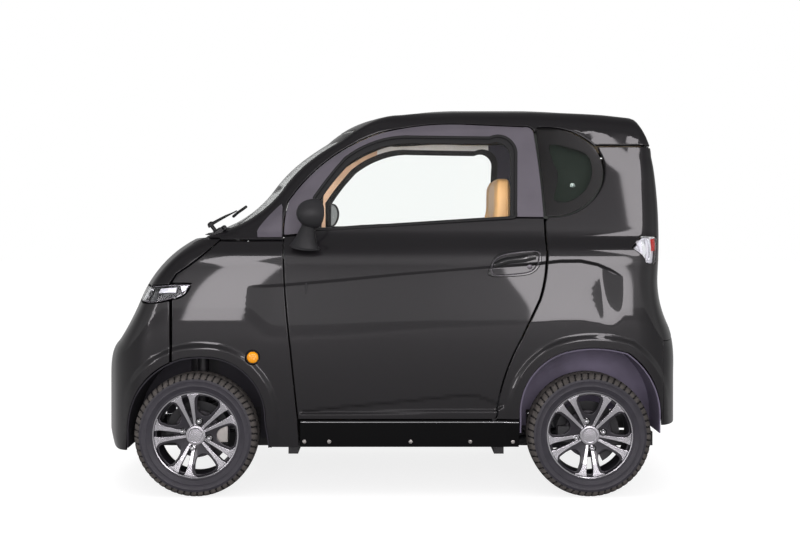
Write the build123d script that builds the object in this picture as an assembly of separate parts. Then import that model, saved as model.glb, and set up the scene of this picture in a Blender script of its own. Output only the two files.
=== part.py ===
"""Two-seat battery-electric microcar, built as an assembly of separate pieces.

Millimetres. +X points to the nose, +Y to the car's left, +Z up. The origin lies on
the floor, in the middle of the car's length and width.

The body is one outer surface, made where four simple solids overlap: a nose and a
tail turned about upright axes, the cross-section drawn along the car, and the plan
outline drawn upwards. Every panel is a piece of the skin between that surface and
the same surface moved inwards, cut out by its seam lines seen from the side.
"""
from build123d import *
from math import cos, hypot, radians, sin
import os

# ---------------------------------------------------------------- driving sizes
LENGTH = 2500.0
WIDTH = 1290.0
HEIGHT = 1634.0
WHEELBASE = 1616.0
FRONT_OVERHANG = 453.0
TRACK = 1096.0
TYRE_DIAMETER = 508.0
TYRE_WIDTH = 145.0
RIM_DIAMETER = 351.0
RIM_SEAT_DIAMETER = 300.0
DOOR_THICKNESS = 52.0
WALL_THICKNESS = 32.0
PANEL_THICKNESS = 12.0
GLASS_THICKNESS = 6.0
GLASS_INSET = 12.0
DOOR_GAP = 8.0
LID_GAP = 8.0
SEAT_CLEARANCE = 0.3
PIN_CLEARANCE = 0.05
SEAT_WIDTH = 430.0
SEAT_SPACING = 470.0
FLOOR_HEIGHT = 225.0
STEERING_WHEEL_DIAMETER = 350.0

HALF_LENGTH = LENGTH / 2
HALF_WIDTH = WIDTH / 2
FRONT_AXLE_X = HALF_LENGTH - FRONT_OVERHANG
REAR_AXLE_X = FRONT_AXLE_X - WHEELBASE
AXLE_HEIGHT = TYRE_DIAMETER / 2
WHEEL_Y = TRACK / 2

# upright axes about which the nose and the tail are turned
NOSE_AXIS_X = 250.0 - HALF_LENGTH
TAIL_AXIS_X = HALF_LENGTH - 242.0
NOSE_PLAN_RADIUS = 1280.0
TAIL_PLAN_RADIUS = 2258.0
NOSE_CORNER_RADIUS = 260.0
TAIL_CORNER_RADIUS = 200.0
MIDDLE_X = -300.0
ENVELOPE_BOTTOM = 100.0
# height that the turned profiles reach over the middle, where the section sets the roof
ROOF_RISE = 20.0
PLAN_MARGIN = 10.0  # keeps the plan's straight sides outside the widest part of the section

# seam heights and stations shared by neighbouring panels
COWL_Z = 1050.0
GLASS_BASE_Z = 1080.0
BONNET_TOP_Z = GLASS_BASE_Z - 18
COWL_STRIP_Z = BONNET_TOP_Z + 11
ROOF_SEAM_Z = 1445.0
SILL_TOP_Z = 316.0
SILL_BOTTOM_Z = 199.0
SILL_INNER_Y = HALF_WIDTH - 85.0
BUMPER_SEAM_X = HALF_LENGTH - 359.0
TAIL_SEAM_X = -HALF_LENGTH + 130.0
LAMP_INNER_Y = HALF_WIDTH - 285.0
FRONT_ARCH_INNER_Y = WHEEL_Y - 218.0
REAR_ARCH_INNER_Y = WHEEL_Y - 148.0
HALF_GAP = DOOR_GAP / 2
FULL = 900.0  # reaches past the car's side

# front views as rows of (height, half-width)
COWL_HALF = HALF_WIDTH - 133
WINDSCREEN_ROWS = [(GLASS_BASE_Z, COWL_HALF), (HEIGHT - 112, HALF_WIDTH - 225)]
TAILGATE_ROWS = [(640, HALF_WIDTH - 165), (1100, HALF_WIDTH - 165),
                 (ROOF_SEAM_Z - 5, HALF_WIDTH - 215)]
TAIL_GLASS_ROWS = [(1060, HALF_WIDTH - 205), (ROOF_SEAM_Z - 45, HALF_WIDTH - 262)]

# lids and doors: hinge lines, pins and the posts that the doors hang on
BONNET_HINGE_X, BONNET_HINGE_Z, BONNET_LUG_Y = 690.0, GLASS_BASE_Z + 25, HALF_WIDTH - 120
TAIL_HINGE_X, TAIL_HINGE_Z, TAIL_HINGE_Y = -HALF_LENGTH + 108, ROOF_SEAM_Z - 5, 300.0
LID_PIN_RADIUS = 4.0
HINGE_X, HINGE_Y = 342.0, HALF_WIDTH - 21
HINGE_HEIGHTS = (560.0, 840.0)
HINGE_PIN_RADIUS = 5.0
POST_X0, POST_X1, POST_Y0, POST_Y1 = 315.0, 371.0, HALF_WIDTH - 165, HALF_WIDTH - 130
POST_TOP_Z = 900.0

# fittings on the outside
INDICATOR_X, INDICATOR_Z, INDICATOR_RADIUS = 560.0, 576.0, 29.5
MIRROR_X, MIRROR_Y, MIRROR_Z, MIRROR_RADIUS = 316.0, HALF_WIDTH + 80, 1165.0, 66.0
WIPER_HOLE_RADIUS = 9.0

# floor, chassis and driveline
RISER_X, BOOT_FLOOR_Z = -518.0, 628.0
RAIL_Y = 230.0
MOTOR_HALF = 165.0
PIVOT_Y0, PIVOT_Y1 = WHEEL_Y - 222.0, WHEEL_Y - 173.0
KINGPIN_Y = WHEEL_Y - 23
BALL_PIN_RADIUS = 7.0
SPINDLE_RADIUS = 15.0
DISC_Y = WHEEL_Y + 4
DISC_RADIUS = 98.0

# steering wheel and column
STEERING_HUB = (118.0, SEAT_SPACING / 2, 905.0)
STEERING_TILT = 25.0
COLUMN_RADIUS = 32.0


# ---------------------------------------------------------------- drawing helpers
def chain(start, rows):
    """Edges in the XZ plane from rows of (arc mid-point or None, end point)."""
    edges, last = [], start
    for mid, end in rows:
        a, b = (last[0], 0, last[1]), (end[0], 0, end[1])
        if mid is None:
            edges.append(Edge.make_line(a, b))
        else:
            edges.append(Edge.make_three_point_arc(a, (mid[0], 0, mid[1]), b))
        last = end
    if hypot(last[0] - start[0], last[1] - start[1]) > 1e-6:
        edges.append(Edge.make_line((last[0], 0, last[1]), (start[0], 0, start[1])))
    return edges


def side_face(start, rows):
    """Closed face in the XZ plane."""
    return Face(Wire(chain(start, rows)))


def polygon(points):
    """Closed straight-sided face in the XZ plane."""
    return side_face(points[0], [(None, p) for p in points[1:]])


def resized(face, amount):
    """The same outline moved outwards, or inwards for a negative amount."""
    return offset(face, amount=amount, kind=Kind.ARC).face() if amount else face


def across(face, y0, y1):
    """Solid made by drawing an XZ face from y0 to y1."""
    return extrude(Pos(0, y0, 0) * face, amount=y1 - y0, dir=(0, 1, 0))


def block(x0, x1, y0, y1, z0, z1):
    """Box between two corners."""
    return Pos((x0 + x1) / 2, (y0 + y1) / 2, (z0 + z1) / 2) * Box(x1 - x0, y1 - y0, z1 - z0)


def rod_y(x, z, radius, y0, y1):
    """Round bar along Y."""
    return Pos(x, (y0 + y1) / 2, z) * Rot(90, 0, 0) * Cylinder(radius, abs(y1 - y0))


def rod(start, end, radius):
    """Round bar between two points."""
    a, b = Vector(*start), Vector(*end)
    plane = Plane(origin=a, z_dir=b - a)
    return extrude(plane * Circle(radius), amount=(b - a).length)


def mirrored(shape):
    """The same piece on the other side of the car."""
    return mirror(shape, about=Plane.XZ)


def both(shape):
    """A left piece and its right twin, which don't touch."""
    return Compound(children=[s for part in (shape, mirrored(shape)) for s in part.solids()])


def save(name, shape):
    """Write one sub-part."""
    export_step(shape, f"parts/{name}.step")
    print(f"{name:24s} {len(shape.solids())} solids  {shape.volume / 1e6:8.3f} litres")


# ---------------------------------------------------------------- outer surface
def turned(axis_x, rows, inset):
    """Solid turned about an upright axis from rows of (arc mid-point, end point, inward).

    Inward is the direction in which the row's points move for an inset.
    """
    def moved(point, inward):
        return (point[0] + inward[0] * inset, point[1] + inward[1] * inset)

    steps = [(mid and moved(mid, inward), moved(end, inward)) for mid, end, inward in rows]
    outline = side_face((axis_x, ENVELOPE_BOTTOM + inset), steps)
    return revolve(outline, Axis((axis_x, 0, 0), (0, 0, 1)), 360)


def nose_limit(inset):
    """All that lies behind the turned nose, bonnet, windscreen and front roof."""
    n = HALF_LENGTH
    rows = [
        # arc mid-point, end point, inward direction
        (None, (n - 60, ENVELOPE_BOTTOM), (-1, 1)),
        (None, (n - 35, 178), (-1, 0)),
        (None, (n, 240), (-1, 0)),
        (None, (n, 470), (-1, 0)),
        ((n - 18, 560), (n - 60, 621), (-0.9, -0.4)),
        ((n - 125, 740), (n - 155, 809), (-0.9, -0.4)),
        ((n - 250, 955), (n - 419, 1072), (-0.65, -0.75)),
        (None, (812, GLASS_BASE_Z), (-0.6, -0.8)),
        ((481, 1322), (240, HEIGHT - 125), (-0.6, -0.8)),
        ((90, HEIGHT - 50), (-120, HEIGHT - 16), (-0.3, -0.95)),
        (None, (-435, HEIGHT + ROOF_RISE), (0, -1)),
        (None, (NOSE_AXIS_X, HEIGHT + ROOF_RISE), (0, -1)),
    ]
    rest = block(-3000, MIDDLE_X, -1200, 1200, ENVELOPE_BOTTOM + inset, HEIGHT + 100)
    return turned(NOSE_AXIS_X, rows, inset) + rest


def tail_limit(inset):
    """All that lies in front of the turned tail."""
    n = -HALF_LENGTH
    rows = [
        # arc mid-point, end point, inward direction
        (None, (n + 20, ENVELOPE_BOTTOM), (1, 1)),
        (None, (n, 290), (1, 0)),
        (None, (n, 448), (1, 0)),
        ((n + 14, 560), (n + 48, 660), (1, -0.2)),
        ((n + 88, 790), (n + 92, 915), (1, 0)),
        ((n + 93, 1150), (n + 114, 1419), (1, 0)),
        ((n + 122, 1500), (n + 150, HEIGHT - 62), (0.9, -0.4)),
        ((n + 185, HEIGHT - 25), (n + 265, HEIGHT - 18), (0.2, -1)),
        ((-801, HEIGHT - 2), (-435, HEIGHT + ROOF_RISE), (0, -1)),
        (None, (TAIL_AXIS_X, HEIGHT + ROOF_RISE), (0, -1)),
    ]
    rest = block(MIDDLE_X, 3000, -1200, 1200, ENVELOPE_BOTTOM + inset, HEIGHT + 100)
    return turned(TAIL_AXIS_X, rows, inset) + rest


def cross_section(inset):
    """The car's cross-section drawn along its whole length, which sets the roof's height."""
    w = HALF_WIDTH
    rows = [
        # arc mid-point, end point, on the left side going up
        (None, (w - 60, ENVELOPE_BOTTOM)),
        (None, (w - 55, 199)),
        ((w - 17, 450), (w, 700)),
        ((w - 5, 840), (w - 25, 960)),
        (None, (w - 75, 1100)),
        ((w - 122, 1320), (w - 172, HEIGHT - 100)),
        ((w - 215, HEIGHT - 52), (w - 300, HEIGHT - 24)),
    ]
    back = [(mid and (-mid[0], mid[1]), (-end[0], end[1])) for mid, end in rows]
    starts = [(0, ENVELOPE_BOTTOM)] + [end for _, end in back]
    right = [(back[i][0], starts[i]) for i in range(len(back) - 1, -1, -1)]
    face = side_face((0, ENVELOPE_BOTTOM), rows + [((0, HEIGHT), starts[-1])] + right)
    face = Rot(0, 0, 90) * resized(face, -inset)
    return extrude(Pos(-2000, 0, 0) * face, amount=4000, dir=(1, 0, 0))


def plan_corner(end_x, end_radius, corner_radius):
    """Points of a rounded plan corner: where it meets the end, its bow and the side."""
    sign = 1 if end_x > 0 else -1
    side_y = HALF_WIDTH + PLAN_MARGIN
    corner_y = side_y - corner_radius
    reach = end_radius - corner_radius
    axis_x = end_x - sign * end_radius
    corner_x = axis_x + sign * (reach ** 2 - corner_y ** 2) ** 0.5
    tip = (axis_x + (corner_x - axis_x) * end_radius / reach, corner_y * end_radius / reach)
    bow = corner_radius * cos(radians(45)), corner_radius * sin(radians(45))
    return {"tip": tip, "bow": (corner_x + sign * bow[0], corner_y + bow[1]),
            "side": (corner_x, side_y)}


def plan_limit(inset):
    """The plan outline drawn upwards."""
    nose = plan_corner(HALF_LENGTH, NOSE_PLAN_RADIUS, NOSE_CORNER_RADIUS)
    tail = plan_corner(-HALF_LENGTH, TAIL_PLAN_RADIUS, TAIL_CORNER_RADIUS)

    def point(p, flip=1):
        return (p[0], flip * p[1], 0)

    edges = [
        Edge.make_three_point_arc(point(nose["tip"], -1), (HALF_LENGTH, 0, 0), point(nose["tip"])),
        Edge.make_three_point_arc(point(nose["tip"]), point(nose["bow"]), point(nose["side"])),
        Edge.make_line(point(nose["side"]), point(tail["side"])),
        Edge.make_three_point_arc(point(tail["side"]), point(tail["bow"]), point(tail["tip"])),
        Edge.make_three_point_arc(point(tail["tip"]), (-HALF_LENGTH, 0, 0), point(tail["tip"], -1)),
        Edge.make_three_point_arc(point(tail["tip"], -1), point(tail["bow"], -1),
                                  point(tail["side"], -1)),
        Edge.make_line(point(tail["side"], -1), point(nose["side"], -1)),
        Edge.make_three_point_arc(point(nose["side"], -1), point(nose["bow"], -1),
                                  point(nose["tip"], -1)),
    ]
    return extrude(resized(Face(Wire(edges)), -inset), amount=HEIGHT + 200, dir=(0, 0, 1))


def envelope(inset):
    """The whole body's outer surface moved inwards by inset, as a solid."""
    return (cross_section(inset) & plan_limit(inset)) & nose_limit(inset) & tail_limit(inset)


# ---------------------------------------------------------------- seam outlines
def door_outline():
    """Side door's edge, with its slanted front and its step over the rear wheel."""
    return side_face((376, SILL_TOP_Z), [
        # arc mid-point, end point
        (None, (406, 606)),
        ((428, 830), (438, 1040)),
        ((436, 1140), (422, 1216)),
        ((262, HEIGHT - 248), (42, HEIGHT - 131)),
        ((-130, HEIGHT - 98), (-330, HEIGHT - 93)),
        (None, (-588, HEIGHT - 107)),
        (None, (-608, HEIGHT - 128)),
        ((-632, 1250), (-641, 1040)),
        ((-638, 925), (-612, 812)),
        (None, (-535, 650)),
        ((-478, 525), (-437, 360)),
        (None, (-433, SILL_TOP_Z)),
    ])


def window_outline():
    """Opening for the glass in the door."""
    return side_face((305, 1098), [
        (None, (305, 1236)),
        ((262, 1305), (190, HEIGHT - 240)),
        ((60, HEIGHT - 168), (-100, HEIGHT - 146)),
        (None, (-418, HEIGHT - 148)),
        ((-506, HEIGHT - 162), (-528, HEIGHT - 230)),
        (None, (-520, 1143)),
    ])


def quarter_glass_outline():
    """Fixed pane behind the door."""
    return side_face((-654, 1152), [
        (None, (-622, HEIGHT - 108)),
        ((-776, HEIGHT - 134), (-858, HEIGHT - 192)),
        ((-890, 1345), (-868, 1264)),
        ((-788, 1182), (-654, 1152)),
    ])


def arch_outline(front):
    """Wheel opening's edge, on the front or the rear axle."""
    if front:
        x = FRONT_AXLE_X
        return side_face((x + 288, -20), [
            (None, (x + 284, 250)),
            ((x + 216, 462), (x + 60, 568)),
            ((x - 20, 577), (x - 95, 571)),
            ((x - 230, 486), (x - 286, 317)),
            (None, (x - 300, 215)),
            (None, (x - 310, -20)),
        ])
    x = REAR_AXLE_X
    return side_face((x + 284, -20), [
        (None, (x + 286, 330)),
        ((x + 226, 517), (x + 100, 598)),
        ((x - 30, 612), (x - 150, 592)),
        ((x - 236, 505), (x - 290, 310)),
        (None, (x - 300, -20)),
    ])


def bonnet_side_outline():
    """Bonnet's edge along the wings and over the lamps."""
    n = HALF_LENGTH
    return side_face((692, BONNET_TOP_Z), [
        ((n - 478, 988), (n - 380, 918)),
        (None, (n - 355, 878)),
        (None, (n - 262, 868)),
        (None, (n + 50, 862)),
        (None, (n + 50, BONNET_TOP_Z)),
    ])


def lamp_outline():
    """Headlamp band, from its pointed rear end forwards."""
    n = HALF_LENGTH
    return polygon([(n - 441, 880), (n - 401, 825), (n - 356, 814), (n - 230, 797),
                    (n + 50, 785), (n + 50, 862), (n - 262, 868)])


def tail_lamp_outline():
    """Tail lamp, from its pointed front end backwards."""
    n = -HALF_LENGTH
    return polygon([(n + 251, 1024), (n + 212, 1066), (n - 50, 1070), (n - 50, 960),
                    (n + 188, 960)])


def front_view_prism(half_widths, x0, x1):
    """Solid along X whose front view has rows of (height, half-width)."""
    left = [(w, z) for z, w in half_widths]
    face = Rot(0, 0, 90) * polygon(left + [(-w, z) for w, z in reversed(left)])
    return extrude(Pos(x0, 0, 0) * face, amount=x1 - x0, dir=(1, 0, 0))


def grown(rows, amount):
    """Front-view rows moved outwards by amount."""
    last = len(rows) - 1
    return [(z - amount if i == 0 else z + amount if i == last else z, w + amount)
            for i, (z, w) in enumerate(rows)]


# ---------------------------------------------------------------- cached surfaces
surfaces = {}


def surface(inset):
    """Envelope moved inwards, made once for each inset."""
    if inset not in surfaces:
        surfaces[inset] = envelope(inset)
    return surfaces[inset]


def skin(outer, inner, region):
    """Part of the layer between two insets that lies in a region."""
    return (surface(outer) & region) - surface(inner)


def keep(shape, minimum=1000.0):
    """The shape without crumbs smaller than a minimum volume."""
    return Compound(children=[s for s in shape.solids() if s.volume > minimum])


def door_cut(gap):
    return across(resized(door_outline(), gap), 200, FULL)


def bonnet_cut(gap):
    side = across(resized(bonnet_side_outline(), gap), -FULL, FULL)
    front = block(900, HALF_LENGTH + 50, -LAMP_INNER_Y + LID_GAP - gap,
                  LAMP_INNER_Y - LID_GAP + gap, 809 - gap, 900)
    return side + front


def arch_cut(front):
    y0 = FRONT_ARCH_INNER_Y if front else REAR_ARCH_INNER_Y
    return across(arch_outline(front), y0, FULL)


def lamp_cut():
    return across(lamp_outline(), LAMP_INNER_Y, FULL)


def tail_lamp_cut():
    return across(tail_lamp_outline(), HALF_WIDTH - 157, FULL)


# ---------------------------------------------------------------- body panels
def make_front_fenders():
    """Front wings, down to the floor line between the wheel and the door."""
    region = across(polygon([(372, SILL_BOTTOM_Z), (BUMPER_SEAM_X, SILL_BOTTOM_Z),
                             (BUMPER_SEAM_X, COWL_Z), (372, COWL_Z)]), 300, FULL)
    wing = skin(0, PANEL_THICKNESS, region)
    wing = wing - door_cut(HALF_GAP) - bonnet_cut(HALF_GAP) - arch_cut(True) - lamp_cut()
    wing -= indicator_shape(SEAT_CLEARANCE)
    return both(keep(wing))


def indicator_shape(grow):
    """Round side indicator in the wing behind the front wheel."""
    disc = rod_y(INDICATOR_X, INDICATOR_Z, INDICATOR_RADIUS + grow, HALF_WIDTH - 60, HALF_WIDTH)
    return disc & surface(0)


def make_side_indicators():
    return both(indicator_shape(0) - surface(PANEL_THICKNESS))


def make_front_bumper():
    """Nose panel below the bonnet and the lamps."""
    region = across(polygon([(BUMPER_SEAM_X, 178), (HALF_LENGTH + 50, 178),
                             (HALF_LENGTH + 50, 866), (BUMPER_SEAM_X, 866)]), -FULL, FULL)
    nose = skin(0, PANEL_THICKNESS, region) - bonnet_cut(HALF_GAP)
    for cut in (arch_cut(True), lamp_cut()):
        nose = nose - cut - mirrored(cut)
    return keep(nose)


def make_headlamps():
    return both(keep(skin(0, 60, lamp_cut()) - bonnet_cut(HALF_GAP)))


def make_roof_frame():
    """Roof with both windscreen pillars, the door tops and the rear header."""
    n = HALF_LENGTH
    region = across(polygon([(430, COWL_Z), (n - 300, COWL_Z), (n - 300, HEIGHT + 60),
                             (-n - 60, HEIGHT + 60), (-n - 60, ROOF_SEAM_Z),
                             (-600, ROOF_SEAM_Z)]), -FULL, FULL)
    roof = skin(0, WALL_THICKNESS, region)
    glass = across(quarter_glass_outline(), 300, FULL)
    for cut in (door_cut(HALF_GAP), glass):
        roof = roof - cut - mirrored(cut)
    roof = roof - front_view_prism(WINDSCREEN_ROWS, 60, n) - bonnet_cut(HALF_GAP)
    roof -= block(500, n, -COWL_HALF, COWL_HALF, COWL_Z - 10, GLASS_BASE_Z)
    roof -= block(BONNET_HINGE_X + 18, n, -FULL, FULL, COWL_Z - 10, BONNET_TOP_Z + 16)
    slot = block(BONNET_HINGE_X - 14, BONNET_HINGE_X + 90, BONNET_LUG_Y - 9, BONNET_LUG_Y + 9,
                 COWL_Z - 10, GLASS_BASE_Z + 60)
    pin = rod_y(BONNET_HINGE_X, BONNET_HINGE_Z, LID_PIN_RADIUS, BONNET_LUG_Y - 12,
                BONNET_LUG_Y + 12)
    leaf = tail_hinge_leaf(1, TAIL_HINGE_Y - 18, TAIL_HINGE_Y - 9.3)
    leaf += tail_hinge_leaf(1, TAIL_HINGE_Y + 9.3, TAIL_HINGE_Y + 18)
    leaf += rod_y(TAIL_HINGE_X, TAIL_HINGE_Z, LID_PIN_RADIUS, TAIL_HINGE_Y - 18,
                  TAIL_HINGE_Y + 18)
    for flip in (lambda shape: shape, mirrored):
        roof = roof - flip(slot) + flip(pin) + flip(leaf)
    return keep(roof)


def tail_hinge_leaf(up, y0, y1):
    """Outside hinge leaf of the tailgate, above (1) or below (-1) the hinge pin."""
    x, z = TAIL_HINGE_X, TAIL_HINGE_Z
    knuckle = rod_y(x, z, 8, y0, y1)
    far = z + up * 34
    plate = block(x - 3, x + 26, y0, y1, min(z, far), max(z, far)) - surface(0)
    hook = block(x - 2, x + 12, y0, y1, min(z + up * 10, far), max(z + up * 10, far))
    return knuckle + plate + (hook & surface(0))


def make_windscreen():
    rows = grown(WINDSCREEN_ROWS, -SEAT_CLEARANCE)
    pane = skin(0, GLASS_THICKNESS, front_view_prism(rows, 60, HALF_LENGTH))
    return keep(pane - wiper_axis(WIPER_HOLE_RADIUS, -40, 40))


def make_cowl_panel():
    """Shelf under the windscreen's lower edge and the bonnet's rear edge."""
    half, top = COWL_HALF, GLASS_BASE_Z + 24
    frame = front_view_prism(grown(WINDSCREEN_ROWS, -SEAT_CLEARANCE), 500, 900)
    lip = skin(GLASS_THICKNESS, DOOR_THICKNESS,
               frame & block(500, 900, -half, half, GLASS_BASE_Z + 4, top))
    shelf = skin(WALL_THICKNESS, DOOR_THICKNESS,
                 block(500, 900, -half, half, COWL_Z - 50, top))
    strip = skin(0, PANEL_THICKNESS, block(500, 900, -COWL_HALF, COWL_HALF,
                                           COWL_STRIP_Z, GLASS_BASE_Z))
    neck = skin(PANEL_THICKNESS, DOOR_THICKNESS,
                block(500, 900, -half, half, COWL_STRIP_Z, GLASS_BASE_Z))
    return keep(lip + shelf + strip + neck)


def make_rear_quarters():
    """Rear side panels with their fixed pane cut out."""
    n = -HALF_LENGTH
    region = across(polygon([(-425, SILL_TOP_Z), (TAIL_SEAM_X + 20, SILL_TOP_Z),
                             (TAIL_SEAM_X + 20, 290), (TAIL_SEAM_X, 290), (TAIL_SEAM_X, 640),
                             (n - 50, 640), (n - 50, ROOF_SEAM_Z), (-425, ROOF_SEAM_Z)]),
                    200, FULL)
    panel = skin(0, WALL_THICKNESS, region)
    panel = panel - door_cut(HALF_GAP) - arch_cut(False) - tail_lamp_cut()
    panel -= across(quarter_glass_outline(), 300, FULL)
    panel -= front_view_prism(grown(TAILGATE_ROWS, HALF_GAP), n - 50, -700)
    return both(keep(panel, 20000))


def make_quarter_glasses():
    outline = resized(quarter_glass_outline(), -SEAT_CLEARANCE)
    return both(keep(skin(0, GLASS_THICKNESS, across(outline, 300, FULL))))


def make_rear_bumper():
    n = -HALF_LENGTH
    region = across(polygon([(TAIL_SEAM_X, 290), (n - 50, 290), (n - 50, 640),
                             (TAIL_SEAM_X, 640)]), -FULL, FULL)
    tail = skin(0, PANEL_THICKNESS, region)
    cut = arch_cut(False)
    return keep(tail - cut - mirrored(cut) - tailgate_cut(HALF_GAP))


def make_tail_lamps():
    lamp = skin(0, 60, tail_lamp_cut())
    return both(keep(lamp - tailgate_cut(HALF_GAP)))


def make_sill_covers():
    """Sills between the wheels, flat on their inner side."""
    region = across(polygon([(372, SILL_BOTTOM_Z), (372, SILL_TOP_Z), (-560, SILL_TOP_Z),
                             (-560, SILL_BOTTOM_Z)]), SILL_INNER_Y, FULL)
    return both(keep((surface(0) & region) - arch_cut(False)))


def make_bonnet():
    """Bonnet with a lug under each rear corner that reaches its hinge pin."""
    lid = skin(0, PANEL_THICKNESS, bonnet_cut(-HALF_GAP))
    x, z, y = BONNET_HINGE_X, BONNET_HINGE_Z, BONNET_LUG_Y
    arm = across(polygon([(x - 2, z - 10), (x + 45, z - 55), (x + 115, z - 90),
                          (x + 130, z - 65), (x + 55, z - 30), (x + 6, z + 8)]), y - 7, y + 7)
    arm = (arm & surface(6)) + rod_y(x, z, 10, y - 7, y + 7)
    arm -= rod_y(x, z, LID_PIN_RADIUS + PIN_CLEARANCE, y - 20, y + 20)
    return keep(lid + arm + mirrored(arm))


def tailgate_cut(gap):
    return front_view_prism(grown(TAILGATE_ROWS, gap), -HALF_LENGTH - 50, -900)


def make_tailgate():
    """Tailgate with its glass cut out and a hinge leaf at each side of its top."""
    gate = skin(0, WALL_THICKNESS, tailgate_cut(-HALF_GAP))
    gate -= front_view_prism(TAIL_GLASS_ROWS, -HALF_LENGTH - 50, -900)
    leaf = tail_hinge_leaf(-1, TAIL_HINGE_Y - 9, TAIL_HINGE_Y + 9)
    leaf -= rod_y(TAIL_HINGE_X, TAIL_HINGE_Z, LID_PIN_RADIUS + PIN_CLEARANCE,
                  TAIL_HINGE_Y - 20, TAIL_HINGE_Y + 20)
    return keep(gate + leaf + mirrored(leaf))


def make_tailgate_glass():
    rows = grown(TAIL_GLASS_ROWS, -SEAT_CLEARANCE)
    return keep(skin(0, GLASS_THICKNESS, front_view_prism(rows, -HALF_LENGTH - 50, -900)))


# ---------------------------------------------------------------- doors
def make_door():
    """Left door as thick as the whole door, with the window and hinge pockets cut."""
    door = skin(0, DOOR_THICKNESS, door_cut(-HALF_GAP))
    door -= across(window_outline(), 200, FULL)
    for z in HINGE_HEIGHTS:
        pocket = block(HINGE_X - 40, HINGE_X + 110, HINGE_Y - 60, HINGE_Y + 12, z - 16, z + 16)
        door -= pocket & surface(6)
        bore = Pos(HINGE_X, HINGE_Y, z + 30) * Cylinder(HINGE_PIN_RADIUS + PIN_CLEARANCE, 30)
        door -= bore
    return keep(door)


def make_door_glass():
    outline = resized(window_outline(), -SEAT_CLEARANCE)
    return keep(skin(GLASS_INSET, GLASS_INSET + GLASS_THICKNESS, across(outline, 200, FULL)))


def make_mirror():
    """Mirror head on a short conical foot at the door's front upper corner."""
    foot = Pos(MIRROR_X, HALF_WIDTH - 12, 1085) * Rot(-62, 0, 0) * Cone(48, 22, 120)
    foot = foot - surface(0)
    head = Pos(MIRROR_X, MIRROR_Y, MIRROR_Z) * Sphere(MIRROR_RADIUS)
    head &= block(MIRROR_X, MIRROR_X + 100, 0, FULL, 0, HEIGHT)
    head += Pos(MIRROR_X - 25, MIRROR_Y, MIRROR_Z) * Rot(0, 90, 0) * Cylinder(MIRROR_RADIUS, 50)
    head -= Pos(MIRROR_X - 50, MIRROR_Y, MIRROR_Z) * Rot(0, 90, 0) * Cylinder(MIRROR_RADIUS - 6, 16)
    return keep(foot + head)


def make_handle():
    """Pull handle standing in its bowl on the door's skin."""
    bar = across(resized(polygon([(-430, 925), (-455, 985), (-560, 1002), (-600, 985),
                                  (-590, 920), (-560, 905)]), 8), 400, FULL)
    return keep((Pos(0, 8, 0) * surface(0) & bar) - surface(0))


def make_hinge_posts():
    """Posts that carry the doors, with a strap and a pin for each hinge."""
    post = block(POST_X0, POST_X1, POST_Y0, POST_Y1, FLOOR_HEIGHT, POST_TOP_Z)
    for z in HINGE_HEIGHTS:
        post += block(HINGE_X - 6, HINGE_X + 6, POST_Y1 - 2, HINGE_Y, z - 6, z + 6)
        post += Pos(HINGE_X, HINGE_Y, z) * Cylinder(6.5, 12)
        post += Pos(HINGE_X, HINGE_Y, z + 21) * Cylinder(HINGE_PIN_RADIUS, 42)
    return both(post)


# ---------------------------------------------------------------- floor and chassis
def make_floor_tub():
    """Floor, toe board, bulkhead, seat riser and boot floor in one sheet."""
    t, half = 10.0, SILL_INNER_Y
    inner = FRONT_ARCH_INNER_Y - 2
    tub = block(RISER_X, 470, -half, half, FLOOR_HEIGHT - t, FLOOR_HEIGHT)
    tub += across(polygon([(470, FLOOR_HEIGHT - t), (610, 400), (610, COWL_Z - 20),
                           (600, COWL_Z - 20), (600, 404), (466, FLOOR_HEIGHT)]), -inner, inner)
    for y0, y1 in ((inner - t, half - 30), (-half + 30, -inner + t)):
        tub += block(460, 470, y0, y1, FLOOR_HEIGHT - t, COWL_Z - 20)
    for y0 in (inner - t, -inner):
        tub += block(462, 610, y0, y0 + t, FLOOR_HEIGHT - t, COWL_Z - 20)
    tub += block(RISER_X - t, RISER_X, -half + 30, half - 30, FLOOR_HEIGHT - t, BOOT_FLOOR_Z)
    tub += block(-1100, RISER_X, -half + 30, half - 30, BOOT_FLOOR_Z - t, BOOT_FLOOR_Z)
    return tub


def make_chassis_rails():
    """Two rails with cross members."""
    rails = None
    for y in (-RAIL_Y, RAIL_Y):
        rail = block(-1150, 1100, y - 25, y + 25, 150, 210)
        rails = rail if rails is None else rails + rail
    for x in (-1130.0, 0.0, 440.0, 1080.0):
        rails += block(x - 20, x + 20, -RAIL_Y, RAIL_Y, 155, 205)
    rails += block(-545, -505, -PIVOT_Y0, PIVOT_Y0, 165, 205)
    for x in (-450.0, 400.0):
        rails += block(x - 20, x + 20, -SILL_INNER_Y, SILL_INNER_Y, 170, 205)
    for y in (-RAIL_Y, RAIL_Y):
        rails += block(300, 340, y - 20, y + 20, 200, FLOOR_HEIGHT - 10)
        rails += block(-400, -360, y - 20, y + 20, 200, FLOOR_HEIGHT - 10)
    return rails


def make_arch_liners():
    """Wheel-house liners with a flat inner wall."""
    liners = []
    for front, inner_y, wall_z in ((True, FRONT_ARCH_INNER_Y, 330), (False, REAR_ARCH_INNER_Y, 330)):
        outline = arch_outline(front)
        box = across(outline, inner_y, FULL) & surface(6)
        ring = box - across(resized(outline, -5), inner_y + 5, FULL)
        axle_x = FRONT_AXLE_X if front else REAR_AXLE_X
        ring -= block(axle_x - 400, axle_x + 400, 0, FULL, -50, 199 if front else 262)
        ring -= block(axle_x - 240, axle_x + 240, 0, inner_y + 5, -50, wall_z)
        if front:
            ring -= block(axle_x - 60, axle_x + 60, 0, 440, 300, 640)
        liners += both(keep(ring)).solids()
    return Compound(children=liners)


def make_battery_box():
    return block(-480, -40, -420, 420, FLOOR_HEIGHT + SEAT_CLEARANCE, 405)


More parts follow.
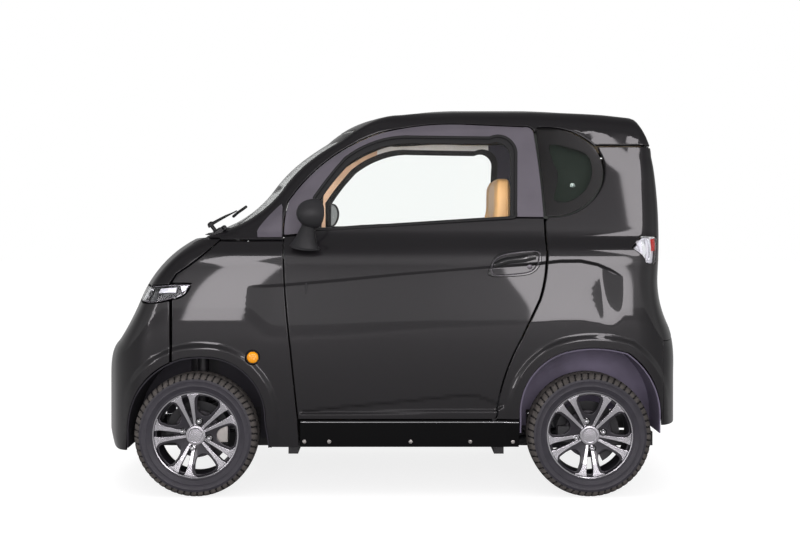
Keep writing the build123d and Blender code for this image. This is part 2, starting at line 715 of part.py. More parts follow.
def make_drive_motor():
    """Motor and gearbox as one plain block on the rear axle."""
    x, z = REAR_AXLE_X, AXLE_HEIGHT
    motor = rod_y(x, z, 95, -40, MOTOR_HALF)
    return motor + block(x - 110, x + 110, -MOTOR_HALF, -40, z - 80, z + 80)


def make_front_suspension():
    """Cross member with upper and lower arms and spring legs."""
    x, z = FRONT_AXLE_X, AXLE_HEIGHT
    frame = block(x - 60, x + 60, -272, 272, 210, 235)
    for y in (-265.0, 265.0):
        frame += block(x - 60, x + 60, y - 7, y + 7, 145, 640)
    for side in (-1, 1):
        for level, eye_z in ((z - 90, z - 96), (z + 100, z + 106)):
            for foot_x in (x - 55, x + 55):
                frame += rod((foot_x, side * 262, level), (x, side * (KINGPIN_Y - 8), level), 9)
            eye = Pos(x, side * KINGPIN_Y, level) * Cylinder(17, 18)
            frame += eye
            frame -= Pos(x, side * KINGPIN_Y, level) * Cylinder(BALL_PIN_RADIUS + PIN_CLEARANCE, 40)
        frame += rod((x, side * 410, z - 92), (x, side * 375, 640), 24)
        frame += block(x - 45, x + 45, min(side * 265, side * 420), max(side * 265, side * 420),
                       630, 645)
    return frame


def make_knuckle():
    """Steered upright with ball pins, spindle, steering arm and brake caliper."""
    x, z = FRONT_AXLE_X, AXLE_HEIGHT
    upright = block(x - 22, x + 22, KINGPIN_Y - 15, KINGPIN_Y + 15, z - 80, z + 90)
    for level in (z - 90, z + 100):
        upright += Pos(x, KINGPIN_Y, level) * Cylinder(BALL_PIN_RADIUS, 28)
    upright += rod_y(x, z, SPINDLE_RADIUS, KINGPIN_Y, WHEEL_Y + 48)
    upright += block(x - 110, x - 10, KINGPIN_Y - 15, KINGPIN_Y + 2, z - 12, z + 12)
    caliper = block(x - 128, x - 70, DISC_Y - 22, DISC_Y + 26, z - 32, z + 32)
    caliper -= rod_y(x, z, DISC_RADIUS + 4, DISC_Y - 5, DISC_Y + 13)
    bracket = block(x - 100, x - 70, KINGPIN_Y, DISC_Y - 5, z - 15, z + 15)
    return keep(upright + caliper + bracket)


def make_rear_axle():
    """Beam, trailing arms, spring legs, spindles and calipers behind the rear wheels."""
    x, z = REAR_AXLE_X, AXLE_HEIGHT
    beam = rod_y(x, z, 28, -WHEEL_Y + 20, WHEEL_Y - 20)
    inner = MOTOR_HALF + SEAT_CLEARANCE
    beam -= block(x - 140, x + 140, -inner, inner, z - 120, z + 120)
    beam += rod_y(x, z, SPINDLE_RADIUS, -WHEEL_Y - 48, -inner - 1)
    beam += rod_y(x, z, SPINDLE_RADIUS, inner + 1, WHEEL_Y + 48)
    yoke = block(x - 60, x + 60, -inner - 15, inner + 15, z - 122, z - 110)
    for y0, y1 in ((-inner - 15, -inner), (inner, inner + 15)):
        yoke += block(x - 40, x + 40, y0, y1, z - 122, z + 40)
    beam += yoke
    for side in (-1, 1):
        beam += rod((x, side * 355, z), (-535, side * 355, 185), 18)
        beam += rod_y(-535, 185, 19, min(side * PIVOT_Y0, side * PIVOT_Y1),
                      max(side * PIVOT_Y0, side * PIVOT_Y1))
        beam += rod((x - 70, side * 350, z - 6),
                    (x - 70, side * 350, BOOT_FLOOR_Z - 10 - SEAT_CLEARANCE), 22)
        beam += block(x - 92, x, side * 350 - 20, side * 350 + 20, z - 20, z + 6)
        caliper = block(x + 70, x + 128, DISC_Y - 22, DISC_Y + 26, z - 32, z + 32)
        caliper -= rod_y(x, z, DISC_RADIUS + 4, DISC_Y - 5, DISC_Y + 13)
        caliper += block(x, x + 100, DISC_Y - 34, DISC_Y - 18, z - 14, z + 14)
        beam += caliper if side == 1 else mirrored(caliper)
    return beam


# ---------------------------------------------------------------- wheels
def make_rim(axle_x):
    """Left wheel: barrel, five pairs of spokes, hub with its bore, and brake disc."""
    half, lip, seat = TYRE_WIDTH / 2, RIM_DIAMETER / 2, RIM_SEAT_DIAMETER / 2
    y = WHEEL_Y
    # barrel half-section: (radius, distance from the wheel's middle)
    rows = [(lip, -half + 5), (lip, -half + 13), (seat + 8, -half + 16), (seat, -20),
            (seat, 20), (seat + 8, half - 16), (lip, half - 13), (lip, half - 5),
            (lip - 9, half - 5), (seat, half - 24), (seat - 8, 20), (seat - 8, -20),
            (lip - 9, -half + 5)]
    face = Face(Wire.make_polygon([(axle_x + r, y + w, AXLE_HEIGHT) for r, w in rows], close=True))
    rim = revolve(face, Axis((axle_x, y, AXLE_HEIGHT), (0, 1, 0)), 360)
    rim += rod_y(axle_x, AXLE_HEIGHT, 62, y + 36, y + 56)
    rim += rod_y(axle_x, AXLE_HEIGHT, 42, y + 4, y + 62)
    for i in range(5):
        for turn in (-9, 9):
            spoke = block(50, seat + 4, -11, 11, 34, 52)
            spoke = Rot(90, 0, 0) * spoke
            spoke = Rot(0, 72 * i + turn, 0) * spoke
            rim += Pos(axle_x, y + 86, AXLE_HEIGHT) * spoke
    rim += rod_y(axle_x, AXLE_HEIGHT, DISC_RADIUS, DISC_Y, DISC_Y + 8)
    bore = rod_y(axle_x, AXLE_HEIGHT, SPINDLE_RADIUS + PIN_CLEARANCE, y, y + 50)
    return rim - bore


def make_tyre(axle_x):
    """Left tyre, hollow and open at its bead."""
    half, out, lip = TYRE_WIDTH / 2, TYRE_DIAMETER / 2, RIM_DIAMETER / 2
    gap = SEAT_CLEARANCE
    seat = RIM_SEAT_DIAMETER / 2 + 8
    # section points: (radius, distance from the wheel's middle)
    rows = [(seat + gap, -half + 17), (lip + 2, -half + 13 + gap), (lip + 3, -half + 5),
            (210, -half), (238, -half + 4), (out, -half + 18), (out, half - 18),
            (238, half - 4), (210, half), (lip + 3, half - 5), (lip + 2, half - 13 - gap),
            (seat + gap, half - 17), (seat + gap + 8, half - 20), (lip + 10, half - 15),
            (232, half - 14), (238, half - 24), (238, -half + 24), (232, -half + 14),
            (lip + 10, -half + 15), (seat + gap + 8, -half + 20)]
    y = WHEEL_Y
    face = Face(Wire.make_polygon([(axle_x + r, y + w, AXLE_HEIGHT) for r, w in rows], close=True))
    return revolve(face, Axis((axle_x, y, AXLE_HEIGHT), (0, 1, 0)), 360)


# ---------------------------------------------------------------- cabin
def make_dashboard():
    """Hollow dashboard across the cabin."""
    outline = side_face((325, 800), [
        (None, (300, 900)),
        ((330, 960), (420, 985)),
        (None, (600 - SEAT_CLEARANCE, 1000)),
        (None, (600 - SEAT_CLEARANCE, 800)),
        (None, (470, 760)),
    ])
    half = POST_Y0 - 6
    dash = across(outline, -half, half)
    inner = resized(outline, -10)
    dash = dash - across(inner, -half + 10, half - 10)
    dash -= rod(column_point(60), column_point(300), COLUMN_RADIUS + SEAT_CLEARANCE)
    waist = FRONT_ARCH_INNER_Y - 14
    return dash - block(440, 620, -half - 1, -waist, 700, 1100) \
        - block(440, 620, waist, half + 1, 700, 1100)


def column_point(distance):
    """Point on the steering column's axis, ahead of the wheel's hub."""
    x, y, z = STEERING_HUB
    a = radians(STEERING_TILT)
    return (x + distance * cos(a), y, z - distance * sin(a))


def make_steering_column():
    column = rod(column_point(30), column_point(225), COLUMN_RADIUS)
    column -= rod(column_point(20), column_point(90), 9 + PIN_CLEARANCE)
    return column


def make_steering_wheel():
    """Rim, three spokes and hub on a short shaft."""
    plane = Plane(origin=STEERING_HUB, x_dir=(0, 1, 0),
                  z_dir=(-cos(radians(STEERING_TILT)), 0, sin(radians(STEERING_TILT))))
    radius = STEERING_WHEEL_DIAMETER / 2 - 14
    wheel = plane * Torus(radius, 14)
    wheel += plane * Pos(0, 0, -12) * Cylinder(48, 30)
    for angle in (0, 180, 270):
        wheel += plane * Rot(0, 0, angle) * Pos(radius / 2 + 15, 0, -8) * Box(radius - 30, 34, 12)
    return wheel + rod(column_point(10), column_point(80), 9)


def make_seat_cushions():
    y = SEAT_SPACING / 2
    cushion = block(-400, 70, y - SEAT_WIDTH / 2, y + SEAT_WIDTH / 2, 470.3, 560)
    return both(fillet(cushion.edges(), 30))


def make_seat_backs():
    y = SEAT_SPACING / 2
    outline = polygon([(-439.7, 572), (-320, 566), (-425, 1080), (-445, 1320), (-515, 1325),
                       (-560, 1080)])
    back = across(outline, y - SEAT_WIDTH / 2 + 10, y + SEAT_WIDTH / 2 - 10)
    return both(back)


def make_seat_frames():
    """Seat pans on four legs, with a bracket up each side of the back."""
    y, half = SEAT_SPACING / 2, SEAT_WIDTH / 2
    pan = block(-440, 60, y - half + 20, y + half - 20, 440, 470)
    for x in (-498.0, 20.0):
        for side in (-1, 1):
            leg_y = y + side * (half - 40)
            pan += block(x - 15, x + 15, leg_y - 15, leg_y + 15, FLOOR_HEIGHT + 0.3, 470)
    for side in (-1, 1):
        leg_y = y + side * (half - 40)
        pan += block(-513, -430, leg_y - 15, leg_y + 15, 440, 470)
    pan += across(polygon([(-440, 440), (-440, 572), (-470.6, 700), (-500, 700), (-470, 440)]),
                  y - half + 30, y + half - 30)
    return both(pan)


def make_wiper():
    """Single wiper parked from the left of the windscreen's base towards its middle."""
    spindle = wiper_axis(WIPER_HOLE_RADIUS - SEAT_CLEARANCE, -10 + SEAT_CLEARANCE, 30)
    spindle = spindle - surface(GLASS_THICKNESS) + wiper_axis(16, 8, 30)
    base, elbow, tip = (771, 350, 1117), (715, 180, 1162), (660, -30, 1203)
    arm = rod(base, elbow, 6) + Pos(*elbow) * Sphere(6) + rod(elbow, tip, 5)
    return keep(spindle + arm)


def wiper_axis(radius, low, high):
    """Round bar square to the windscreen at the wiper's spindle."""
    slope = radians(36)
    foot, lean = Vector(757, 352, 1098), Vector(sin(slope), 0, cos(slope))
    start, end = foot + lean * low, foot + lean * high
    return rod(tuple(start), tuple(end), radius)


# ---------------------------------------------------------------- write the parts
def write_parts():
    save("front_fenders", make_front_fenders())
    save("side_indicators", make_side_indicators())
    save("front_bumper", make_front_bumper())
    save("headlamps", make_headlamps())
    save("roof_frame", make_roof_frame())
    save("windscreen", make_windscreen())
    save("cowl_panel", make_cowl_panel())
    save("rear_quarters", make_rear_quarters())
    save("quarter_glasses", make_quarter_glasses())
    save("rear_bumper", make_rear_bumper())
    save("tail_lamps", make_tail_lamps())
    save("sill_covers", make_sill_covers())
    save("bonnet", make_bonnet())
    save("tailgate", make_tailgate())
    save("tailgate_glass", make_tailgate_glass())
    pieces = {"door": make_door(), "door_glass": make_door_glass(), "mirror": make_mirror(),
              "handle": make_handle(), "knuckle": make_knuckle()}
    for axle, x in (("front", FRONT_AXLE_X), ("rear", REAR_AXLE_X)):
        pieces[f"rim_{axle}"] = make_rim(x)
        pieces[f"tyre_{axle}"] = make_tyre(x)
    for name, piece in pieces.items():
        save(f"{name}_left", piece)
        save(f"{name}_right", mirrored(piece))
    save("hinge_posts", make_hinge_posts())
    save("floor_tub", make_floor_tub())
    save("chassis_rails", make_chassis_rails())
    save("arch_liners", make_arch_liners())
    save("battery_box", make_battery_box())
    save("drive_motor", make_drive_motor())
    save("front_suspension", make_front_suspension())
    save("rear_axle", make_rear_axle())
    save("dashboard", make_dashboard())
    save("steering_column", make_steering_column())
    save("steering_wheel", make_steering_wheel())
    save("seat_cushions", make_seat_cushions())
    save("seat_backs", make_seat_backs())
    save("seat_frames", make_seat_frames())
    save("wiper", make_wiper())


os.makedirs("parts", exist_ok=True)
write_parts()
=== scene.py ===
"""Blender scene for the microcar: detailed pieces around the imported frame."""
from math import atan2, cos, pi, radians, sin, sqrt, tau

import bpy
import numpy as np
from mathutils import Matrix, Vector
from mathutils.geometry import delaunay_2d_cdt


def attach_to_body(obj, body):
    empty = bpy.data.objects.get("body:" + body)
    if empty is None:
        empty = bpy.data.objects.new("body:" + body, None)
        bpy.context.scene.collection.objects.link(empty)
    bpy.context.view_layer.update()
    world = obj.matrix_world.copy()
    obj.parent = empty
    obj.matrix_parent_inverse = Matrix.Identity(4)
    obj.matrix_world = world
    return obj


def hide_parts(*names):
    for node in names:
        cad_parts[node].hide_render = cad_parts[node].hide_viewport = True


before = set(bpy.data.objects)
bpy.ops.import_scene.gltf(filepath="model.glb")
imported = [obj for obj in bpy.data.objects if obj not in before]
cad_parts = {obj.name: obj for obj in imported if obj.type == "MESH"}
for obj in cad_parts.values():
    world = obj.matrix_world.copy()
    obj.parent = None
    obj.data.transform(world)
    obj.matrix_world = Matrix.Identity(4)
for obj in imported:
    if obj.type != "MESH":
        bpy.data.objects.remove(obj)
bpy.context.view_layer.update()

# sizes are millimetres in the frame's axes, and MM turns them into metres; the camera, the
# lights and the floor are placed in metres
MM = 0.001
HALF_LENGTH, HALF_WIDTH, HEIGHT = 1250.0, 645.0, 1634.0
FRONT_AXLE_X, REAR_AXLE_X, AXLE_Z, WHEEL_Y = 797.0, -819.0, 254.0, 548.0
NOSE_AXIS_X, TAIL_AXIS_X = -1000.0, 1008.0
NOSE_RAY_X, TAIL_RAY_X = -600.0, 300.0
PANEL_GAP = 3.0
BUMPER_SEAM_X = 891.0


# ------------------------------------------------------------------ outlines
def arc_points(a, m, b, count=10):
    """Points after a, up to b, on the arc through a, m and b."""
    (ax, ay), (mx, my), (bx, by) = a, m, b
    d = 2 * (ax * (my - by) + mx * (by - ay) + bx * (ay - my))
    if abs(d) < 1e-6:
        return [(ax + (bx - ax) * i / count, ay + (by - ay) * i / count)
                for i in range(1, count + 1)]
    sa, sm, sb = ax * ax + ay * ay, mx * mx + my * my, bx * bx + by * by
    cx = (sa * (my - by) + sm * (by - ay) + sb * (ay - my)) / d
    cy = (sa * (bx - mx) + sm * (ax - bx) + sb * (mx - ax)) / d
    r = sqrt((ax - cx) ** 2 + (ay - cy) ** 2)
    t0, tm, t1 = (atan2(p[1] - cy, p[0] - cx) for p in (a, m, b))
    sweep, part = (t1 - t0) % tau, (tm - t0) % tau
    if part > sweep:
        sweep -= tau
    return [(cx + r * cos(t0 + sweep * i / count), cy + r * sin(t0 + sweep * i / count))
            for i in range(1, count + 1)]


def path(start, rows, count=10):
    """Points of a line through rows of (arc mid-point or None, end point)."""
    points = [tuple(start)]
    for mid, end in rows:
        points += arc_points(points[-1], mid, end, count) if mid else [tuple(end)]
    return np.array(points, float)


def resampled(points, step, closed=True):
    """The same line with no stretch longer than step."""
    points = np.asarray(points, float)
    out = []
    count = len(points) if closed else len(points) - 1
    for i in range(count):
        a, b = points[i], points[(i + 1) % len(points)]
        n = max(1, int(np.ceil(np.linalg.norm(b - a) / step)))
        out += [a + (b - a) * k / n for k in range(n)]
    if not closed:
        out.append(points[-1])
    return np.array(out)


def area(poly):
    """Signed area of a closed outline."""
    x, y = poly[:, 0], poly[:, 1]
    return 0.5 * np.sum(x * np.roll(y, -1) - np.roll(x, -1) * y)


def unit(v):
    """Directions scaled to length one."""
    return v / np.maximum(np.linalg.norm(v, axis=-1, keepdims=True), 1e-12)


def ccw(poly, step=12.0):
    """Closed outline evenly resampled, anticlockwise."""
    p = resampled(poly, step)
    return p if area(p) > 0 else p[::-1]


def inset(poly, amount):
    """Closed outline moved to its left by amount, with mitred corners."""
    e1 = unit(poly - np.roll(poly, 1, 0))
    e2 = unit(np.roll(poly, -1, 0) - poly)
    n1 = np.stack([-e1[:, 1], e1[:, 0]], 1)
    n2 = np.stack([-e2[:, 1], e2[:, 0]], 1)
    b = unit(n1 + n2)
    return poly + b * (amount / np.maximum(np.sum(b * n1, 1), 0.5))[:, None]


def inside(points, poly):
    """Which points lie inside a closed outline."""
    x, y = points[:, 0][:, None], points[:, 1][:, None]
    x0, y0 = poly[:, 0][None], poly[:, 1][None]
    x1, y1 = np.roll(poly[:, 0], -1)[None], np.roll(poly[:, 1], -1)[None]
    hit = (y0 > y) != (y1 > y)
    with np.errstate(divide="ignore", invalid="ignore"):
        cross = x < (x1 - x0) * (y - y0) / (y1 - y0) + x0
    return np.sum(hit & cross, 1) % 2 == 1


def within(points, loops):
    """Which points lie inside the first outline and outside the others."""
    keep = inside(points, loops[0])
    for hole in loops[1:]:
        keep &= ~inside(points, hole)
    return keep


def distance(points, line, closed=True):
    """Distance from each point to a line."""
    a = line if closed else line[:-1]
    b = np.roll(line, -1, 0) if closed else line[1:]
    best = np.full(len(points), 1e9)
    for i in range(len(a)):
        d = b[i] - a[i]
        t = np.clip(((points - a[i]) @ d) / max(d @ d, 1e-9), 0, 1)
        best = np.minimum(best, np.linalg.norm(points - a[i] - t[:, None] * d, axis=1))
    return best


def smooth(x, low, high):
    """0 below low, 1 above high, and smooth between."""
    t = np.clip((x - low) / (high - low), 0, 1)
    return t * t * (3 - 2 * t)


# --------------------------------------------------------------- body surface
def table(values, keys):
    """Value and steepness factor against a rising key, on an even grid."""
    grid = np.arange(keys[0], keys[-1], 2.0)
    v = np.interp(grid, keys, values)
    v = np.convolve(np.pad(v, 4, mode="edge"), np.ones(9) / 9, mode="valid")
    slope = np.gradient(v, grid)
    return grid, v, 1 / np.sqrt(1 + slope ** 2)


def make_limits():
    """Side-view nose and tail, cross-section and half plan of the plain body, as tables."""
    n, t, w = HALF_LENGTH, -HALF_LENGTH, HALF_WIDTH
    nose = path((n - 60, 100), [
        (None, (n - 35, 178)), (None, (n, 240)), (None, (n, 470)),
        ((n - 18, 560), (n - 60, 621)), ((n - 125, 740), (n - 155, 809)),
        ((n - 250, 955), (n - 419, 1072)), (None, (812, 1080)),
        ((605, 1182), (510, 1288)), ((400, 1400), (284, 1481)), ((150, 1571), (-46, 1616)),
        ((-170, 1636), (-435, HEIGHT + 20)), (None, (-1500, HEIGHT + 60))])
    tail = path((t + 20, 100), [
        (None, (t, 290)), (None, (t, 500)), ((t + 3, 600), (t + 30, 690)),
        ((t + 66, 800), (t + 73, 915)), ((t + 71, 1150), (t + 100, 1419)),
        ((t + 113, 1500), (t + 150, HEIGHT - 62)), ((t + 185, HEIGHT - 25), (t + 265, HEIGHT - 16)),
        ((-801, HEIGHT), (-435, HEIGHT + 20)), (None, (1500, HEIGHT + 60))])
    section = path((w - 60, 100), [
        (None, (w - 55, 199)), ((w - 17, 450), (w, 700)), ((w - 5, 840), (w - 25, 960)),
        ((w - 33, 1008), (w - 50, 1040)), ((w - 68, 1072), (w - 76, 1104)),
        ((w - 122, 1320), (w - 172, HEIGHT - 100)),
        ((w - 215, HEIGHT - 52), (w - 300, HEIGHT - 20)), (None, (0, HEIGHT + 4)),
        (None, (-2000, HEIGHT + 40))])
    limits = {name: table(line[:, 0], line[:, 1])
              for name, line in (("nose", nose), ("tail", tail), ("section", section))}
    x, y = [], []
    # plan: each end's radius, and the radius of its corners
    for end, end_radius, corner in ((-n, 2258.0, 200.0), (n, 1280.0, 260.0)):
        sign = 1 if end > 0 else -1
        reach, cy = end_radius - corner, HALF_WIDTH - corner
        ax = end - sign * end_radius
        cx = ax + sign * sqrt(reach ** 2 - cy ** 2)
        turn = atan2(cy, abs(cx - ax))
        across = [(ax + sign * end_radius * cos(a), end_radius * sin(a))
                  for a in np.linspace(0, turn, 12)]
        bend = [(cx + sign * corner * cos(a), cy + corner * sin(a))
                for a in np.linspace(turn, pi / 2, 16)[1:]]
        points = across + bend
        points = points if sign < 0 else points[::-1]
        x += [p[0] for p in points]
        y += [p[1] for p in points]
    x, y = [x[0] - 200] + x + [x[-1] + 200], [-3000] + y + [-3000]
    limits["plan"] = table(np.array(y), np.array(x))
    return limits


LIMITS = make_limits()


def limit(name, key):
    """A limit's value and steepness factor at a key."""
    grid, value, factor = LIMITS[name]
    return np.interp(key, grid, value), np.interp(key, grid, factor)


def smax(a, b, k):
    """Larger of two values, rounded off where they come within k of each other."""
    h = np.maximum(k - np.abs(a - b), 0) / k
    return np.maximum(a, b) + h * h * k / 4


# rounding where section meets plan and nose meets tail, and the roof's fall off its middle
SIDE_ROUND, END_ROUND, CROWN = 30.0, 10.0, 10.0


def field(p):
    """Roughly the distance outside the body, with its edges rounded and its roof crowned."""
    x, y = p[:, 0], p[:, 1]
    # the roof line dips towards the rear, and a little over the windscreen
    sag = np.interp(x, [-1080, -1000, -920, -840, -700, -600, -280, -130, -44, 60, 200],
                    [24, 23, 14, 9, 3, 0, 0, 5, 9, 4, 0])
    z = p[:, 2] + (sag + CROWN * smooth(np.abs(y), 0, 220)) * smooth(p[:, 2], 1330, 1500)
    nx, nf = limit("nose", z)
    tx, tf = limit("tail", z)
    sy, sf = limit("section", z)
    py, pf = limit("plan", x)
    nose = (np.hypot(x - NOSE_AXIS_X, y) - (nx - NOSE_AXIS_X)) * nf
    tail = (np.hypot(x - TAIL_AXIS_X, y) - (TAIL_AXIS_X - tx)) * tf
    side = smax((np.abs(y) - sy) * sf, (np.abs(y) - py) * pf, SIDE_ROUND)
    round_k = np.interp(z, [600, 900, 1250, 1450, 1560], [38, 70, 60, 40, 14])
    return smax(side, smax(nose, tail, END_ROUND), round_k)


RAY_REACH, HALVINGS = 2600.0, 24


def project(origins, directions):
    """Where rays from inside cross the body's surface."""
    low, high = np.zeros(len(origins)), np.full(len(origins), RAY_REACH)
    for _ in range(HALVINGS):
        mid = (low + high) / 2
        out = field(origins + directions * mid[:, None]) > 0
        high, low = np.where(out, mid, high), np.where(out, low, mid)
    return origins + directions * low[:, None]


# seam outlines in side view, as (x, z)
DOOR = path((378, 318), [
    (None, (406, 606)), ((428, 830), (438, 1040)), ((436, 1140), (422, 1216)),
    ((262, HEIGHT - 248), (42, HEIGHT - 131)), ((-130, HEIGHT - 98), (-330, HEIGHT - 93)),
    (None, (-560, HEIGHT - 104)), ((-592, HEIGHT - 110), (-606, HEIGHT - 140)),
    ((-632, 1250), (-641, 1040)), ((-638, 925), (-612, 812)), (None, (-535, 650)),
    ((-478, 525), (-437, 360)), ((-436, 330), (-425, 318))])
WINDOW = path((318, 1096), [
    (None, (318, 1232)), ((262, 1310), (190, HEIGHT - 236)),
    ((60, HEIGHT - 165), (-100, HEIGHT - 144)), (None, (-418, HEIGHT - 148)),
    ((-506, HEIGHT - 160), (-530, HEIGHT - 230)), (None, (-524, 1170)),
    ((-521, 1151), (-505, 1144)), (None, (232, 1097))])
QUARTER_GLASS = path((-654, 1152), [
    (None, (-622, HEIGHT - 108)), ((-776, HEIGHT - 134), (-858, HEIGHT - 192)),
    ((-890, 1345), (-868, 1264)), ((-788, 1182), (-654, 1152))])
FRONT_ARCH = path((FRONT_AXLE_X + 288, 60), [
    (None, (FRONT_AXLE_X + 284, 250)), ((FRONT_AXLE_X + 216, 462), (FRONT_AXLE_X + 60, 568)),
    ((FRONT_AXLE_X - 20, 577), (FRONT_AXLE_X - 95, 571)),
    ((FRONT_AXLE_X - 230, 486), (FRONT_AXLE_X - 286, 317)),
    (None, (FRONT_AXLE_X - 300, 199)), (None, (FRONT_AXLE_X - 310, 60))])
REAR_ARCH = path((REAR_AXLE_X + 284, 60), [
    (None, (REAR_AXLE_X + 286, 330)), ((REAR_AXLE_X + 226, 517), (REAR_AXLE_X + 100, 598)),
    ((REAR_AXLE_X - 30, 612), (REAR_AXLE_X - 150, 592)),
    ((REAR_AXLE_X - 236, 505), (REAR_AXLE_X - 290, 310)), (None, (REAR_AXLE_X - 300, 60))])
# the crease that runs along the side, and the hollow low in the door
CREASE = np.array([(900, 838), (590, 866), (435, 874), (203, 894), (-41, 918), (-244, 935),
                   (-407, 947), (-616, 962), (-694, 971), (-780, 972), (-850, 957),
                   (-900, 936), (-1000, 880)], float)
SCALLOP = np.array([(368, 338), (367, 359), (204, 377), (-41, 400), (-204, 417), (-306, 427),
                    (-367, 421), (-432, 396), (-477, 375), (-430, 345), (-200, 345)], float)


FLARE, HOLLOW = 9.0, 9.0


def relief(x, z):
    """How far the side stands out from the plain surface, in side view."""
    p = np.stack([x, z], 1)
    out = np.zeros(len(x))
    for arch in (FRONT_ARCH, REAR_ARCH):
        d = distance(p, arch[:-1], closed=False)
        out += FLARE * (1 - smooth(d, 34, 62)) * smooth(z, 190, 300)
    line = np.interp(x, CREASE[::-1, 0], CREASE[::-1, 1])
    below = line - z
    fade = smooth(x, -960, -860) * (1 - smooth(x, 470, 585))
    depth = np.interp(x, [-900, -640, -200], [13.0, 11.0, 6.0])
    out -= depth * smooth(below, -4, 11) * (1 - smooth(below, 40, 250)) * fade
    d = distance(p, SCALLOP)
    out -= HOLLOW * np.where(inside(p, SCALLOP), smooth(d, 0, 14), 0)
    return out


def side_surface(sign):
    """Surface seen from the side, as (x, z)."""
    def surface(uv):
        origins = np.stack([uv[:, 0], 0 * uv[:, 0], uv[:, 1]], 1)
        p = project(origins, np.tile([0.0, sign, 0.0], (len(uv), 1)))
        p[:, 1] += sign * relief(uv[:, 0], uv[:, 1])
        return p
    return surface


NOSE_SCALE, TAIL_SCALE = 1800.0, 1500.0


def end_surface(axis_x, sign, scale):
    """Surface seen from an upright axis, as (angle times scale, height)."""
    def surface(uv):
        a = uv[:, 0] / scale
        origins = np.stack([0 * a + axis_x, 0 * a, uv[:, 1]], 1)
        directions = np.stack([sign * np.cos(a), np.sin(a), 0 * a], 1)
        p = project(origins, directions)
        on_side = smooth(np.abs(p[:, 1]), 560, 625)
        p[:, 1] += np.sign(p[:, 1]) * relief(p[:, 0], p[:, 2]) * on_side
        return p
    return surface


nose_surface = end_surface(NOSE_RAY_X, 1, NOSE_SCALE)
tail_surface = end_surface(TAIL_RAY_X, -1, TAIL_SCALE)
TOP_CENTRE, TOP_SCALE = np.array([-200.0, 0.0, 900.0]), 1000.0


def top_surface(uv):
    """Surface seen from a point inside the cabin, in stereographic coordinates."""
    q = uv / TOP_SCALE
    s = np.sum(q * q, 1)
    d = np.stack([2 * q[:, 0], 2 * q[:, 1], 1 - s], 1) / (1 + s)[:, None]
    return project(np.tile(TOP_CENTRE, (len(uv), 1)), d)


def to_nose(p):
    """Places of points on the nose surface."""
    return np.stack([np.arctan2(p[:, 1], p[:, 0] - NOSE_RAY_X) * NOSE_SCALE, p[:, 2]], 1)


def to_tail(p):
    """Places of points on the tail surface."""
    return np.stack([np.arctan2(p[:, 1], TAIL_RAY_X - p[:, 0]) * TAIL_SCALE, p[:, 2]], 1)


def to_top(p):
    """Places of points on the top surface."""
    d = unit(p - TOP_CENTRE)
    return d[:, :2] / (1 + d[:, 2:]) * TOP_SCALE


def on_side(xz):
    """Left surface points for a side-view line."""
    xz = resampled(np.array(xz, float), 20.0, closed=False)
    o = np.stack([xz[:, 0], 0 * xz[:, 0], xz[:, 1]], 1)
    return project(o, np.tile([0.0, 1.0, 0.0], (len(o), 1)))


def on_end(yz, sign):
    """Surface points for a line in front view (sign 1) or rear view (sign -1)."""
    yz = resampled(np.array(yz, float), 20.0, closed=False)
    o = np.stack([0 * yz[:, 0], yz[:, 0], yz[:, 1]], 1)
    return project(o, np.tile([float(sign), 0.0, 0.0], (len(o), 1)))


# -------------------------------------------------------------- mesh building
BUILT = {}                      # what each object was built from, by its name


def new_object(name, verts, faces, material, normals=None, slots=None):
    """Mesh object from millimetre points; smooth, with given vertex normals if any."""
    BUILT[name] = (np.asarray(verts, float), faces, material, normals, slots)
    mesh = bpy.data.meshes.new(name)
    mesh.from_pydata([tuple(v) for v in np.asarray(verts) * MM], [], [tuple(f) for f in faces])
    mesh.validate()
    obj = bpy.data.objects.new(name, mesh)
    bpy.context.collection.objects.link(obj)
    for m in (material if isinstance(material, (list, tuple)) else [material]):
        mesh.materials.append(m)
    if slots is not None:
        mesh.polygons.foreach_set("material_index", np.asarray(slots, dtype=np.int32))
    mesh.shade_smooth()
    if normals is not None:
        mesh.normals_split_custom_set_from_vertices([tuple(n) for n in normals])
    mesh.update()
    return obj


# normals are measured over this step, and point away from the cabin's middle
NORMAL_STEP = 0.8
CABIN_MIDDLE, AWAY_WEIGHTS = [-50.0, 0.0, 800.0], [0.5, 1.6, 1.0]


def with_normals(surface, uv):
    """Surface points and their outward normals."""
    e = NORMAL_STEP
    p = surface(uv)
    du = surface(uv + [e, 0]) - surface(uv - [e, 0])
    dv = surface(uv + [0, e]) - surface(uv - [0, e])
    n = unit(np.cross(du, dv))
    away = getattr(surface, "away", None)
    if away is None:
        away = (p - CABIN_MIDDLE) * AWAY_WEIGHTS
    flip = np.sum(n * away, 1) < 0
    n[flip] *= -1
    return p, n


ROW_CLEARANCE, EDGE_CLEARANCE = 9.0, 3.0     # bare strips beside rows and along outlines


